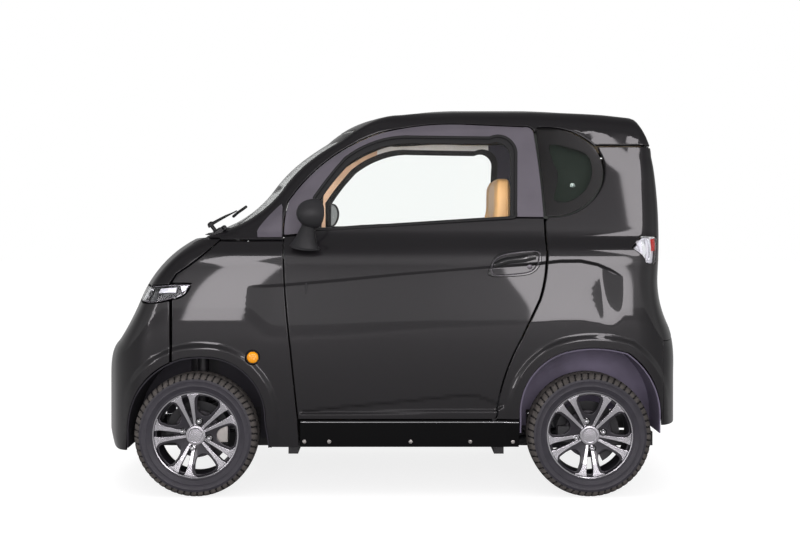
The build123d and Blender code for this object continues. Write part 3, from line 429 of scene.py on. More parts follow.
def triangles(loops, spacing, rows=()):
    """Even triangles between closed outlines: the first is outer, the rest are holes."""
    low, high = loops[0].min(0), loops[0].max(0)
    gx = np.arange(low[0], high[0], spacing)
    gy = np.arange(low[1], high[1], spacing * 0.87)
    xx, yy = np.meshgrid(gx, gy)
    xx[1::2] += spacing / 2
    grid = np.stack([xx.ravel(), yy.ravel()], 1)
    grid = grid[within(grid, loops)]
    for loop in loops:
        grid = grid[distance(grid, loop) > spacing * 0.45]
    for row in rows:
        grid = grid[distance(grid, row, closed=False) > ROW_CLEARANCE]
    if len(rows):
        extra = np.concatenate(rows)
        extra = extra[within(extra, loops)]
        for loop in loops:
            extra = extra[distance(extra, loop) > EDGE_CLEARANCE]
        grid = np.concatenate([grid, extra])
    points = np.concatenate(list(loops) + [grid])
    edges, base = [], 0
    for loop in loops:
        n = len(loop)
        edges += [(base + i, base + (i + 1) % n) for i in range(n)]
        base += n
    v, _, f, _, _, _ = delaunay_2d_cdt([Vector(p) for p in points], edges, [], 0, 1e-4)
    v = np.array([tuple(p) for p in v])
    f = np.array([t for t in f if len(t) == 3])
    f = f[within(v[f].mean(1), loops)]
    e1, e2 = v[f[:, 1]] - v[f[:, 0]], v[f[:, 2]] - v[f[:, 0]]
    bad = e1[:, 0] * e2[:, 1] - e1[:, 1] * e2[:, 0] < 0
    f[bad] = f[bad][:, ::-1]
    return v, f


def panel(name, surface, outer, holes=(), material=None, gap=PANEL_GAP, spacing=16.0,
          edge=3.0, depth=10.0, sink=0.0, back=True, side_material=None, rows=()):
    """Rounded-edge panel on a surface, with a flange and an inner skin.

    With a side material, the flange and the inner skin take it.
    """
    loops = []
    for i, line in enumerate([outer] + list(holes)):
        line = resampled(np.asarray(line, float), spacing * 0.6)
        if (area(line) > 0) != (i == 0):
            line = line[::-1]
        loops.append(line)
    verts, norms, faces, slots = [], [], [], []

    def add(p, n):
        base = sum(len(v) for v in verts)
        verts.append(p)
        norms.append(n)
        return base

    p0, n0 = with_normals(surface, np.array([loops[0].mean(0)]))
    pu = surface(np.array([loops[0].mean(0) + [1, 0]])) - p0
    pv = surface(np.array([loops[0].mean(0) + [0, 1]])) - p0
    turn = np.dot(np.cross(pu[0], pv[0]), n0[0]) > 0
    levels = [(gap, depth), (gap, edge), (gap + 0.29 * edge, 0.29 * edge), (gap + edge, 0.0)]
    inner = []
    for line in loops:
        top = inset(line, gap + edge)
        inner.append(top)
        ptop, _ = with_normals(surface, top)
        prim, _ = with_normals(surface, inset(line, gap))
        out = unit(prim - ptop)
        bases = []
        for off, down in levels:
            p, n = with_normals(surface, inset(line, off))
            share = min(1.0, down / edge)
            bases.append(add(p - n * (down + sink), unit(n * (1 - share) + out * share)))
        count = len(line)
        for k in range(3):
            for i in range(count):
                j = (i + 1) % count
                quad = (bases[k] + i, bases[k] + j, bases[k + 1] + j, bases[k + 1] + i)
                faces.append(quad if turn else quad[::-1])
                slots.append(1 if k == 0 else 0)
    uv, tri = triangles(inner, spacing, rows)
    p, n = with_normals(surface, uv)
    base = add(p - n * sink, n)
    faces += [tuple(base + t if turn else base + t[::-1]) for t in tri]
    slots += [0] * len(tri)
    if back:
        rim = [inset(line, gap) for line in loops]
        uv, tri = triangles(rim, spacing * 2.5)
        p, n = with_normals(surface, uv)
        base = add(p - n * (depth + sink), -n)
        faces += [tuple(base + t[::-1] if turn else base + t) for t in tri]
        slots += [1] * len(tri)
    if side_material is None:
        slots = None
    else:
        material = [material, side_material]
    return new_object(name, np.concatenate(verts), faces, material, np.concatenate(norms), slots)


def quads(rows, count, wrap_rows, wrap_count=True):
    """Faces between neighbouring rows of count points."""
    return [(i * count + k, i * count + (k + 1) % count,
             (i + 1) % rows * count + (k + 1) % count, (i + 1) % rows * count + k)
            for i in range(rows if wrap_rows else rows - 1)
            for k in range(count if wrap_count else count - 1)]


def spin(name, profile, centre, material, segments=96, closed=True, sharp=32.0, shift=None):
    """Ring turned about a line along Y from (radius, distance along Y) points."""
    profile = np.array(profile, float)
    angles = np.arange(segments) * tau / segments
    count = len(profile)
    r = np.tile(profile[:, 0], (segments, 1))
    y = np.tile(profile[:, 1], (segments, 1))
    if shift is not None:
        r, y = shift(angles[:, None], r, y)
    a = angles[:, None]
    verts = np.stack([r * np.cos(a) + centre[0], y + centre[1], r * np.sin(a) + centre[2]], 2)
    obj = new_object(name, verts.reshape(-1, 3), quads(segments, count, True, closed), material)
    obj.data.set_sharp_from_angle(angle=radians(sharp))
    return obj


def tube(name, points, radius, material, segments=14, closed=False, flat=1.0, up=(0, 0, 1)):
    """Round bar along points; radius may vary, and flat narrows it towards up."""
    p = np.array(points, float)
    n = len(p)
    radii = np.broadcast_to(np.asarray(radius, float), (n,)).copy()
    ahead, behind = np.roll(p, -1, 0), np.roll(p, 1, 0)
    if not closed:
        ahead[-1], behind[0] = p[-1], p[0]
    t = unit(ahead - behind)
    side = unit(np.cross(t, np.array(up, float)) + 1e-6)
    top = unit(np.cross(side, t))
    angles = np.arange(segments) * tau / segments
    ring = [p + radii[:, None] * (side * cos(a) + top * sin(a) * flat) for a in angles]
    verts = np.stack(ring, 1).reshape(-1, 3)
    faces = [(a, d, c, b) for a, b, c, d in quads(n, segments, closed)]
    if not closed:
        faces.append(tuple(range(segments)))
        faces.append(tuple(range((n - 1) * segments, n * segments))[::-1])
    obj = new_object(name, verts, faces, material)
    obj.data.set_sharp_from_angle(angle=radians(50))
    return obj


def taper(line, stops, radii):
    """Radius at each point of a line, from its value at fractions of the way."""
    return np.interp(np.linspace(0, 1, len(line)), stops, radii)


def fair(points, count=60, closed=False):
    """Smooth line through a few points."""
    p = np.array(points, float)
    n = len(p)
    out = []
    spans = n if closed else n - 1
    for i in range(spans):
        p1, p2 = p[i], p[(i + 1) % n]
        p0 = p[i - 1] if (closed or i > 0) else 2 * p1 - p2
        p3 = p[(i + 2) % n] if (closed or i + 2 < n) else 2 * p2 - p1
        for t in np.linspace(0, 1, max(2, count // spans), endpoint=False):
            out.append(0.5 * (2 * p1 + (p2 - p0) * t + (2 * p0 - 5 * p1 + 4 * p2 - p3) * t ** 2
                              + (3 * p1 - p0 - 3 * p2 + p3) * t ** 3))
    if not closed:
        out.append(p[-1])
    return np.array(out)


def swept(name, sections, material, closed_ends=True, sharp=40.0):
    """Skin through closed sections of the same number of points."""
    sections = np.array(sections, float)
    n, m = sections.shape[:2]
    faces = quads(n, m, False)
    if closed_ends:
        faces.append(tuple(range(m))[::-1])
        faces.append(tuple(range((n - 1) * m, n * m)))
    obj = new_object(name, sections.reshape(-1, 3), faces, material)
    obj.data.set_sharp_from_angle(angle=radians(sharp))
    return obj


def soft_box(name, place, material, power=5.0, cells=44):
    """Rounded cushion; place turns unit-box points into millimetres."""
    grid = np.linspace(-1, 1, cells + 1)
    a, b = np.meshgrid(grid, grid, indexing="ij")
    one = np.ones_like(a)
    sides = [(a, b, one), (b, a, -one), (one, a, b), (-one, b, a), (b, one, a), (a, -one, b)]
    verts, faces = [], []
    for s in sides:
        base = sum(len(v) for v in verts)
        verts.append(np.stack([c.ravel() for c in s], 1))
        for i in range(cells):
            for j in range(cells):
                k = base + i * (cells + 1) + j
                faces.append((k, k + cells + 1, k + cells + 2, k + 1))
    q = np.concatenate(verts)
    q = q / (np.sum(np.abs(q) ** power, 1) ** (1 / power))[:, None]
    key = {}
    index = np.array([key.setdefault(tuple(np.round(v, 5)), len(key)) for v in q])
    points = np.array(list(key.keys()))
    faces = [tuple(index[list(f)]) for f in faces]
    return new_object(name, place(points), faces, material)


def moved(obj, matrix):
    """Moves a mesh's points by a matrix in metres."""
    obj.data.transform(matrix)
    return obj


def placed(obj, direction, at):
    """Turns a piece's Y axis along a direction and moves it to a point in millimetres."""
    turn = Vector(direction).to_track_quat("Y", "Z").to_matrix().to_4x4()
    return moved(moved(obj, turn), Matrix.Translation(Vector(np.array(at) * MM)))


def mirror_object(obj, name):
    """Mirror copy of a piece that has no stored normals."""
    mesh = obj.data.copy()
    mesh.transform(Matrix.Diagonal((1, -1, 1, 1)))
    mesh.flip_normals()
    other = bpy.data.objects.new(name, mesh)
    bpy.context.collection.objects.link(other)
    return other


def mirror_of(obj, name):
    """The same piece on the other side of the car."""
    verts, faces, mat, normals, slots = BUILT[obj.name]
    flip = np.array([1.0, -1.0, 1.0])
    turned = [tuple(f)[::-1] for f in faces]
    return new_object(name, verts * flip, turned, mat,
                      None if normals is None else np.asarray(normals) * flip, slots)


def other_side(parts):
    """Mirror copies of pieces: panels keep their normals, the rest their sharp edges."""
    return [(mirror_object if BUILT[p.name][3] is None else mirror_of)(p, p.name + "_r")
            for p in parts]


def join(objects, name):
    """One object from several, keeping normals."""
    bpy.ops.object.select_all(action="DESELECT")
    for o in objects:
        o.select_set(True)
    bpy.context.view_layer.objects.active = objects[0]
    bpy.ops.object.join()
    objects[0].name = name
    objects[0].data.name = name
    return objects[0]


# ------------------------------------------------------------------ materials
def add_node(tree, kind, inputs=(), **settings):
    """New shader node; its inputs take values, or sockets to be linked from."""
    node = tree.nodes.new("ShaderNode" + kind)
    for key, value in settings.items():
        setattr(node, key, value)
    for key, value in dict(inputs).items():
        set_input(tree, node, key, value)
    return node


def set_input(tree, node, key, value):
    """Links a socket to a node's input, or sets the input's value."""
    if isinstance(value, bpy.types.NodeSocket):
        tree.links.new(value, node.inputs[key])
    else:
        node.inputs[key].default_value = value


def new_material(name):
    """Empty principled material, with its node tree, shader and a texture position."""
    m = bpy.data.materials.new(name)
    m.use_nodes = True
    place = add_node(m.node_tree, "TexCoord").outputs["Object"]
    return m, m.node_tree, m.node_tree.nodes["Principled BSDF"], place


def material(name, color, rough=0.5, metallic=0.0, vary=0.12, vary_scale=6.0, grain=0.0,
             grain_scale=400.0, rough_vary=0.08, **sockets):
    """Principled material with soft colour and roughness variation and a fine grain."""
    m, tree, shader, place = new_material(name)
    shader.inputs["Metallic"].default_value = metallic
    for key, value in sockets.items():
        shader.inputs[key.replace("_", " ")].default_value = value
    cloud = add_node(tree, "TexNoise", {"Scale": vary_scale, "Detail": 5.0, "Vector": place})
    cloud = cloud.outputs["Fac"]
    ramp = add_node(tree, "ValToRGB", {"Fac": cloud})
    for element, position, share in zip(ramp.color_ramp.elements, (0.3, 0.7),
                                        (1 - vary, 1 + vary)):
        element.position = position
        element.color = (*[min(1.0, c * share) for c in color], 1)
    set_input(tree, shader, "Base Color", ramp.outputs["Color"])
    spread = add_node(tree, "MapRange", {"To Min": max(0.0, rough - rough_vary),
                                         "To Max": min(1.0, rough + rough_vary),
                                         "Value": cloud})
    set_input(tree, shader, "Roughness", spread.outputs["Result"])
    if grain:
        fine = add_node(tree, "TexNoise", {"Scale": grain_scale, "Detail": 3.0,
                                           "Vector": place})
        bump = add_node(tree, "Bump", {"Strength": grain, "Distance": 0.001,
                                       "Height": fine.outputs["Fac"]})
        set_input(tree, shader, "Normal", bump.outputs["Normal"])
    return m


def flakes(m, scale, amount):
    """Adds fine metallic flakes to a paint."""
    tree = m.node_tree
    base = tree.nodes["Principled BSDF"].inputs["Base Color"]
    place = add_node(tree, "TexCoord")
    cells = add_node(tree, "TexVoronoi", {"Scale": scale, "Vector": place.outputs["Object"]})
    mix = add_node(tree, "Mix", data_type="RGBA", blend_type="MULTIPLY",
                   inputs={"Factor": amount, "A": base.links[0].from_socket,
                           "B": cells.outputs["Color"]})
    tree.links.new(mix.outputs["Result"], base)


def glass(name, color, rough=0.0):
    """Clear or tinted glass that lets lamps light what is behind it."""
    m, tree, shader, place = new_material(name)
    for key, value in (("Base Color", (*color, 1)), ("Transmission Weight", 1.0),
                       ("IOR", 1.25)):
        shader.inputs[key].default_value = value
    haze = add_node(tree, "TexNoise", {"Scale": 9.0, "Vector": place})
    spread = add_node(tree, "MapRange", {"To Min": rough, "To Max": rough + 0.015,
                                         "Value": haze.outputs["Fac"]})
    set_input(tree, shader, "Roughness", spread.outputs["Result"])
    clear = add_node(tree, "BsdfTransparent", {"Color": (*color, 1)})
    rays = add_node(tree, "LightPath")
    mix = add_node(tree, "MixShader", {0: rays.outputs["Is Shadow Ray"],
                                       1: shader.outputs["BSDF"], 2: clear.outputs["BSDF"]})
    set_input(tree, tree.nodes["Material Output"], "Surface", mix.outputs["Shader"])
    return m


def srgb(r, g, b):
    """Linear colour from 0-255 screen values."""
    return tuple((c / 255 / 12.92) if c <= 10 else ((c / 255 + 0.055) / 1.055) ** 2.4
                 for c in (r, g, b))


PAINT = material("paint", srgb(27, 25, 28), rough=0.34, metallic=0.25, vary=0.05,
                 vary_scale=2.0, rough_vary=0.03, Coat_Weight=0.75, Coat_Roughness=0.035,
                 Specular_IOR_Level=0.3)
flakes(PAINT, scale=1600.0, amount=0.35)
BLACK = material("black_plastic", srgb(34, 34, 36), rough=0.5, grain=0.35, grain_scale=900.0)
GLOSS_BLACK = material("gloss_black", srgb(16, 16, 18), rough=0.12, rough_vary=0.04,
                       Coat_Weight=0.6)
RUBBER = material("seal_rubber", srgb(26, 26, 27), rough=0.65, grain=0.3, grain_scale=600.0)
# one liner plastic in two copies: a paler, purple-tinted one with painted light, for the rear arch
# liners and also the bonnet lining, and a darker one with painted shade, for the front arch liners
LINER_PAINTED_LIT = material("liner_plastic", srgb(106, 100, 118), rough=0.7, grain=0.5, grain_scale=500.0,
                 vary=0.25)
LINER_PAINTED_SHADE = material("liner_plastic_dark", srgb(38, 36, 43), rough=0.7, grain=0.5,
                      grain_scale=500.0, vary=0.2)
CLEAR = glass("clear_glass", (0.975, 0.99, 0.982))
TINTED = glass("tinted_glass", (0.37, 0.41, 0.385))
LENS = glass("lamp_lens", (0.97, 0.98, 0.99))
RED_LENS = glass("red_lens", (0.85, 0.03, 0.02), rough=0.02)
AMBER = material("amber_lens", (1.0, 0.36, 0.0), rough=0.12, vary=0.1, Coat_Weight=0.8)
CHROME = material("bright_metal", (0.8, 0.8, 0.82), rough=0.12, metallic=1.0, vary=0.04)
STEEL = material("bare_steel", (0.42, 0.4, 0.38), rough=0.35, metallic=1.0, vary=0.2,
                 grain=0.2, grain_scale=700.0)
CHASSIS = material("chassis_paint", srgb(30, 30, 32), rough=0.45, grain=0.2, vary=0.3)
CASE = material("case_metal", srgb(120, 122, 126), rough=0.42, metallic=0.8, grain=0.25,
                vary=0.15)
LEATHER = material("tan_leather", srgb(206, 160, 104), rough=0.45, vary=0.1, vary_scale=14.0,
                   grain=0.5, grain_scale=260.0)
DARK_TRIM = material("dark_trim", srgb(38, 37, 38), rough=0.6, grain=0.5, grain_scale=500.0)
CARPET = material("carpet", srgb(44, 43, 45), rough=0.95, grain=1.0, grain_scale=900.0,
                  vary=0.3, vary_scale=60.0)


# ---------------------------------------------------------------- body panels
COWL_SEAM_Z = 1052.0
BONNET_SEAM = path((692, 1062), [((772, 988), (870, 918)), (None, (895, 878))], 14)
LAMP_LOWER = path((812, 877), [((836, 834), (885, 815)), ((930, 803), (990, 798))], 8)
TAIL_LAMP = path((-999, 1024), [(None, (-1036, 1062)), ((-1042, 1068), (-1052, 1069)),
                                (None, (-1092, 1067)), ((-1102, 1065), (-1104, 1050)),
                                (None, (-1092, 972)), ((-1089, 959), (-1078, 959)),
                                (None, (-1062, 961)), ((-1057, 961), (-1052, 968))])


def circle(x, z, radius, count=28):
    """Round outline in side view."""
    return np.array([(x + radius * cos(tau * i / count), z + radius * sin(tau * i / count))
                     for i in range(count)])


FRONT_ARCH_REAR = FRONT_ARCH[(FRONT_ARCH[:, 0] <= BUMPER_SEAM_X) & (FRONT_ARCH[:, 1] >= 199)]
FRONT_ARCH_FORE = FRONT_ARCH[(FRONT_ARCH[:, 0] > BUMPER_SEAM_X) & (FRONT_ARCH[:, 1] >= 199)]
SEAM_ON_ARCH = (BUMPER_SEAM_X, float(np.interp(BUMPER_SEAM_X, FRONT_ARCH[::-1, 0],
                                               FRONT_ARCH[::-1, 1])))
DOOR_FRONT = DOOR[(DOOR[:, 0] > 370) & (DOOR[:, 1] < COWL_SEAM_Z)]
DOOR_REAR = DOOR[(DOOR[:, 0] < -420) & (DOOR[:, 1] < 1151)]
DOOR_TOP = DOOR[(DOOR[:, 1] > COWL_SEAM_Z) & (DOOR[:, 0] > -607) & (DOOR[:, 1] > 1060)]
GLASS_LOW = QUARTER_GLASS[2:][QUARTER_GLASS[2:, 1] < 1440]
GLASS_HIGH = QUARTER_GLASS[1:][QUARTER_GLASS[1:, 1] >= 1440]


def symmetric_points(points):
    """Closed line on the whole car from the points of its left half."""
    right = points[::-1] * [1, -1, 1]
    return np.concatenate([points, right])


def both_sides(obj, name):
    """One piece from a left panel and its mirror copy."""
    return join([obj, mirror_of(obj, name + "_r")], name)


def attach(piece, body, slot, *nodes):
    """Rides a piece on its body and hides the nodes that it stands for; its finish slot is not
    used.
    """
    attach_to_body(piece, body)
    if nodes:
        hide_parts(*nodes)
    return piece


def attach_pair(parts, name, node=None, slot="black_plastic", body="door_{}_body"):
    """Joins left parts, and their mirror copies, to a piece on each side's body."""
    for side, pieces in (("left", parts), ("right", other_side(parts))):
        attach(join(pieces, name.format(side)), body.format(side), slot,
               *([node.format(side)] if node else []))


def crease_rows():
    """Close rows of points along the side crease, so that its edge runs true."""
    x = np.arange(-950.0, 700.0, 5.0)
    line = np.interp(x, CREASE[::-1, 0], CREASE[::-1, 1])
    return [np.stack([x, line - low], 1) for low in (-5.0, -2.0, 1.0, 4.0, 7.0, 10.0, 13.0)]


def square_rows(x0, x1):
    """Rows along the side seen square on, for a part of the crease."""
    return [row[(row[:, 0] > x0) & (row[:, 0] < x1)] for row in crease_rows()]


def corner_rows(x0, x1, z0, z1):
    """Upright rows where the side turns into the tail."""
    z = np.arange(z0, z1, 9.0)
    return [to_tail(on_side(np.stack([np.full(len(z), x), z], 1)))
            for x in np.arange(x0, x1, 7.0)]


def arch_rows(arch):
    """Rows along a wheel arch's flare."""
    loop = ccw(arch, 12)
    rows = [inset(loop, -d) for d in (28.0, 34.0, 40.0, 47.0, 54.0, 61.0, 67.0)]
    return [row[row[:, 1] > 205] for row in rows]


left = side_surface(1)
fender_line = np.concatenate([
    [SEAM_ON_ARCH], FRONT_ARCH_REAR, [(FRONT_AXLE_X - 300, 199), (372, 199)], DOOR_FRONT,
    [(438, COWL_SEAM_Z), (700, COWL_SEAM_Z)], BONNET_SEAM[1:], [(870, 877)],
    LAMP_LOWER[LAMP_LOWER[:, 0] < BUMPER_SEAM_X], [(BUMPER_SEAM_X, 813)]])
fender = panel("fender", left, fender_line, [circle(560, 576, 27)], PAINT, spacing=14,
               rows=square_rows(420, 700) + arch_rows(FRONT_ARCH))
attach(both_sides(fender, "front_fender_panels"), "body", "body_paint", "front_fenders")

quarter_line = to_tail(np.concatenate([
    on_side(np.concatenate([[(-425, 318), (-533, 318)],
                            REAR_ARCH[(REAR_ARCH[:, 1] > 318)],
                            [(-1112, 292), (-1122.4, 292), (-1122.4, 638.8)]])),
    on_end([(596, 638.8), (481, 638.8), (481, 1100), (431, 1443), (470, 1443)], -1),
    on_side(np.concatenate([[(-1090, 1446), (-862, 1446)], GLASS_LOW])),
    on_side(DOOR_REAR)]))
quarter = panel("quarter", tail_surface, quarter_line, [to_tail(on_side(TAIL_LAMP))], PAINT,
                spacing=14, rows=[to_tail(on_side(row)) for row in square_rows(-950, -620)
                                 + arch_rows(REAR_ARCH)]
               + corner_rows(-1112, -966, 300, 1440) + corner_rows(-962, -846, 640, 955))
attach(both_sides(quarter, "rear_quarter_panels"), "body", "body_paint", "rear_quarters")

roof_half = np.concatenate([
    on_end([(0, 1447), (431, 1447), (470, 1447)], -1),
    on_side([(-1090, 1448), (-862, 1448)]), on_side(GLASS_HIGH[::-1]),
    on_side(DOOR_TOP[::-1]), on_side([(438, 1056), (698, 1056)]),
    on_end([(566, 1064), (514, 1067), (513, 1080), (440, 1500), (418, 1521), (0, 1524)], 1)])
roof_line = to_top(symmetric_points(roof_half))
roof = panel("roof_panel", top_surface, roof_line, (), PAINT, gap=1.5, spacing=14, depth=14)
attach(roof, "body", "body_paint", "roof_frame")

bonnet_half = np.concatenate([
    on_end([(0, 1060), (560, 1060)], 1), on_side(BONNET_SEAM), on_side([(895, 872), (985, 868)]),
    on_end([(596, 866), (354, 861), (350, 811), (0, 811)], 1)])
bonnet = panel("bonnet_lid", nose_surface, to_nose(symmetric_points(bonnet_half)), (), PAINT,
               spacing=16, depth=12)
attach(bonnet, "bonnet_body", "body_paint")

bumper_half = np.concatenate([
    on_end([(0, 807), (356, 807), (362, 799), (592, 797)], 1),
    on_side(LAMP_LOWER[LAMP_LOWER[:, 0] > BUMPER_SEAM_X][::-1]),
    on_side([(BUMPER_SEAM_X, 813), SEAM_ON_ARCH]), on_side(FRONT_ARCH_FORE[::-1]),
    on_side([(1088, 184)]), on_end([(540, 181), (0, 180)], 1)])
flare_rows = [to_nose(on_side(row[row[:, 0] > BUMPER_SEAM_X])) for row in arch_rows(FRONT_ARCH)]
front_bumper = panel("front_bumper_skin", nose_surface, to_nose(symmetric_points(bumper_half)),
                     (), PAINT, spacing=16, rows=flare_rows)
attach(front_bumper, "body", "body_paint", "front_bumper")

rear_half = np.concatenate([
    on_end([(0, 641), (560, 643), (596, 643)], -1), on_side([(-1117.6, 643), (-1117.6, 292)]),
    on_end([(590, 292), (0, 292)], -1)])
rear_bumper = panel("rear_bumper_skin", tail_surface, to_tail(symmetric_points(rear_half)),
                    (), PAINT, spacing=16)
attach(rear_bumper, "body", "body_paint", "rear_bumper")

gate_half = np.concatenate([
    on_end([(0, 1441), (418, 1441), (431, 1428), (479, 1100), (479, 655), (470, 645), (0, 645)],
           -1)])
gate_glass = on_end([(-383, 1404), (-300, 1412), (300, 1412), (383, 1404), (436, 1075),
                     (425, 1060), (-425, 1060), (-436, 1075), (-383, 1404)], -1)
gate = panel("tailgate_skin", tail_surface, to_tail(symmetric_points(gate_half)),
             [to_tail(gate_glass)], PAINT, spacing=16)
attach(gate, "tailgate_body", "body_paint")
gate_pane = panel("tailgate_pane", tail_surface, to_tail(gate_glass), (), TINTED, gap=1.0,
                  spacing=24, edge=1.5, depth=5, sink=1.0)
attach(gate_pane, "tailgate_body", "dark_glass", "tailgate_glass")

screen_half = on_end([(0, 1081), (510, 1081), (440, 1490), (432, 1508), (415, 1519),
                      (0, 1522)], 1)
screen = panel("windscreen_pane", nose_surface, to_nose(symmetric_points(screen_half)), (),
               CLEAR, gap=1.0, spacing=24, edge=1.5, depth=5, sink=0.5)
attach(screen, "body", "clear_glass", "windscreen")

# --------------------------------------------------------------------- wheels
ALLOY = material("machined_alloy", (0.62, 0.61, 0.64), rough=0.24, metallic=1.0, vary=0.05,
                 vary_scale=30.0, rough_vary=0.05)
RIM_DARK = material("rim_dark_paint", srgb(42, 40, 46), rough=0.32, metallic=0.35, vary=0.12,
                    vary_scale=20.0, Coat_Weight=0.4)
TYRE = material("tyre_rubber", srgb(46, 44, 51), rough=0.44, grain=0.5, grain_scale=350.0,
                vary=0.16, vary_scale=26.0)
TREAD = material("tread_rubber", srgb(76, 72, 69), rough=0.85, grain=0.7, grain_scale=300.0,
                 vary=0.3, vary_scale=40.0)
# near black for the sunk faces of the tread: painted shade in its grooves and slots
GROOVE_SHADE = material("tread_groove", srgb(14, 13, 14), rough=0.9, grain=0.4, grain_scale=300.0)
PITCHES = 56                    # tread blocks round the tyre
SLOT_SKEW, SLOT_SHARE = 0.45, 0.24    # lean of the shoulder slots, and their share of a pitch
SHOULDER_W = 43                 # half width where the shoulder blocks begin


def tyre_profile():
    """Closed tyre section as (radius, distance from the middle plane), outer side first."""
    side = [(168, 52), (171, 58), (177, 62.5), (181, 64), (184, 63.5), (192, 67), (200, 69.8),
            (202, 70.8), (204, 70.2), (212, 71.4), (220, 71.8), (222, 72.5), (224, 71.6),
            (231, 70.2), (237, 68.2), (241, 66.2), (245, 63.6), (248, 60.2), (250.2, 56.2)]
    tread = [(251.6, w) for w in (52, 46)] + [(252.8, w) for w in (42, 41.5, 37, 36.5, 30, 22)]
    tread += [(253.6, w) for w in (17, 16.5, 11, 10.5, 4)]
    right = side + tread
    left = [(r, -w) for r, w in right[::-1]]
    return [(r, w) for r, w in right + left]


def tread_shift(a, r, y):
    """Cuts the tread's grooves and the shoulder's slots."""
    w = np.abs(y)
    turn = a / tau * PITCHES
    groove = ((w > 36.8) & (w < 41.7)) | ((w > 10.8) & (w < 16.7))
    slot = ((turn + SLOT_SKEW * w / 72) % 1.0) < SLOT_SHARE
    centre_slot = ((turn + 0.5 - 0.8 * w / 36) % 1.0) < 0.2
    shoulder = (r > 236) & (w > SHOULDER_W)
    middle = (w > 17) & (w < 36.6)
    cut = np.where(groove, 7.0, 0)
    cut = cut + np.where(shoulder & slot, np.interp(r, [236, 246], [1.6, 5.5]), 0)
    cut = np.maximum(cut, np.where(middle & centre_slot, 5.0, 0))
    push = np.where(shoulder & slot & (r < 249), 2.2, 0)
    return r - cut, y - np.sign(y) * push


def make_tyre(name, x):
    """Left tyre, with its tread in a finish of its own and its sunk grooves and slots in a
    near-black one, painted shade.
    """
    tyre = spin(name, tyre_profile(), (x, WHEEL_Y, AXLE_Z), TYRE, segments=PITCHES * 6,
                sharp=28.0, shift=tread_shift)
    tyre.data.materials.append(TREAD)
    tyre.data.materials.append(GROOVE_SHADE)
    for face in tyre.data.polygons:
        out = face.center / MM - Vector((x, WHEEL_Y, AXLE_Z))
        r, w = np.hypot(out.x, out.z), abs(out.y)
        part = (atan2(out.z, out.x) / tau * PITCHES + SLOT_SKEW * w / 72) % 1.0
        if r > 233:
            sunk = part < SLOT_SHARE if w > SHOULDER_W else r < 249.5
            face.material_index = 2 if sunk else 1
    return tyre


def wheel_surface(x):
    """Outer face of a left wheel, in side view."""
    def surface(uv):
        r = np.hypot(uv[:, 0] - x, uv[:, 1] - AXLE_Z)
        y = np.interp(r, [0, 40, 60, 120, 165, 180], [46, 47, 49, 56, 59, 59.5])
        return np.stack([uv[:, 0], y + WHEEL_Y, uv[:, 1]], 1)
    surface.away = np.array([0.0, 1.0, 0.0])
    return surface


def polar(x, points):
    """Side-view points from (radius, image angle in degrees) about a wheel's centre."""
    return np.array([(x - r * cos(radians(a)), AXLE_Z + r * sin(radians(a)))
                     for r, a in points])


def pair_points(x, centre, side):
    """One spoke of a pair: narrow at the hub, flared where it meets the rim."""
    rows = [(40, 4, 19), (60, 5.2, 16.5), (85, 5.8, 14.6), (110, 6.0, 14.0), (135, 5.9, 14.0),
            (152, 5.4, 14.8), (163, 4.6, 17.5), (170, 4.0, 21.5)]
    inner = [(r, centre + side * a) for r, a, _ in rows]
    outer = [(r, centre + side * b) for r, _, b in rows]
    arc = [(170, centre + side * a) for a in np.linspace(4.0, 21.5, 6)[1:-1]]
    return polar(x, inner + arc + outer[::-1])


def window_points(x, centre):
    """Dark window between two pairs, with rounded corners."""
    rows = [(160, -15), (163, -8), (164, 0), (163, 8), (160, 15), (150, 17.5), (120, 17.5),
            (100, 15.5), (88, 10.5), (83, 4), (82, 0), (83, -4), (88, -10.5), (100, -15.5),
            (120, -17.5), (150, -17.5)]
    return polar(x, [(r, centre + a) for r, a in rows])


def slot_points(x, centre):
    """Slot between the two spokes of a pair."""
    rows = [(158, -4.4), (160, 0), (158, 4.4), (150, 5.0), (110, 5.0), (84, 4.4), (70, 2.6),
            (67, 0), (70, -2.6), (84, -4.4), (110, -5.0), (150, -5.0)]
    return polar(x, [(r, centre + a) for r, a in rows])


DISC_STEEL = material("disc_steel", srgb(62, 60, 64), rough=0.35, metallic=0.7, vary=0.2,
                      vary_scale=30.0)


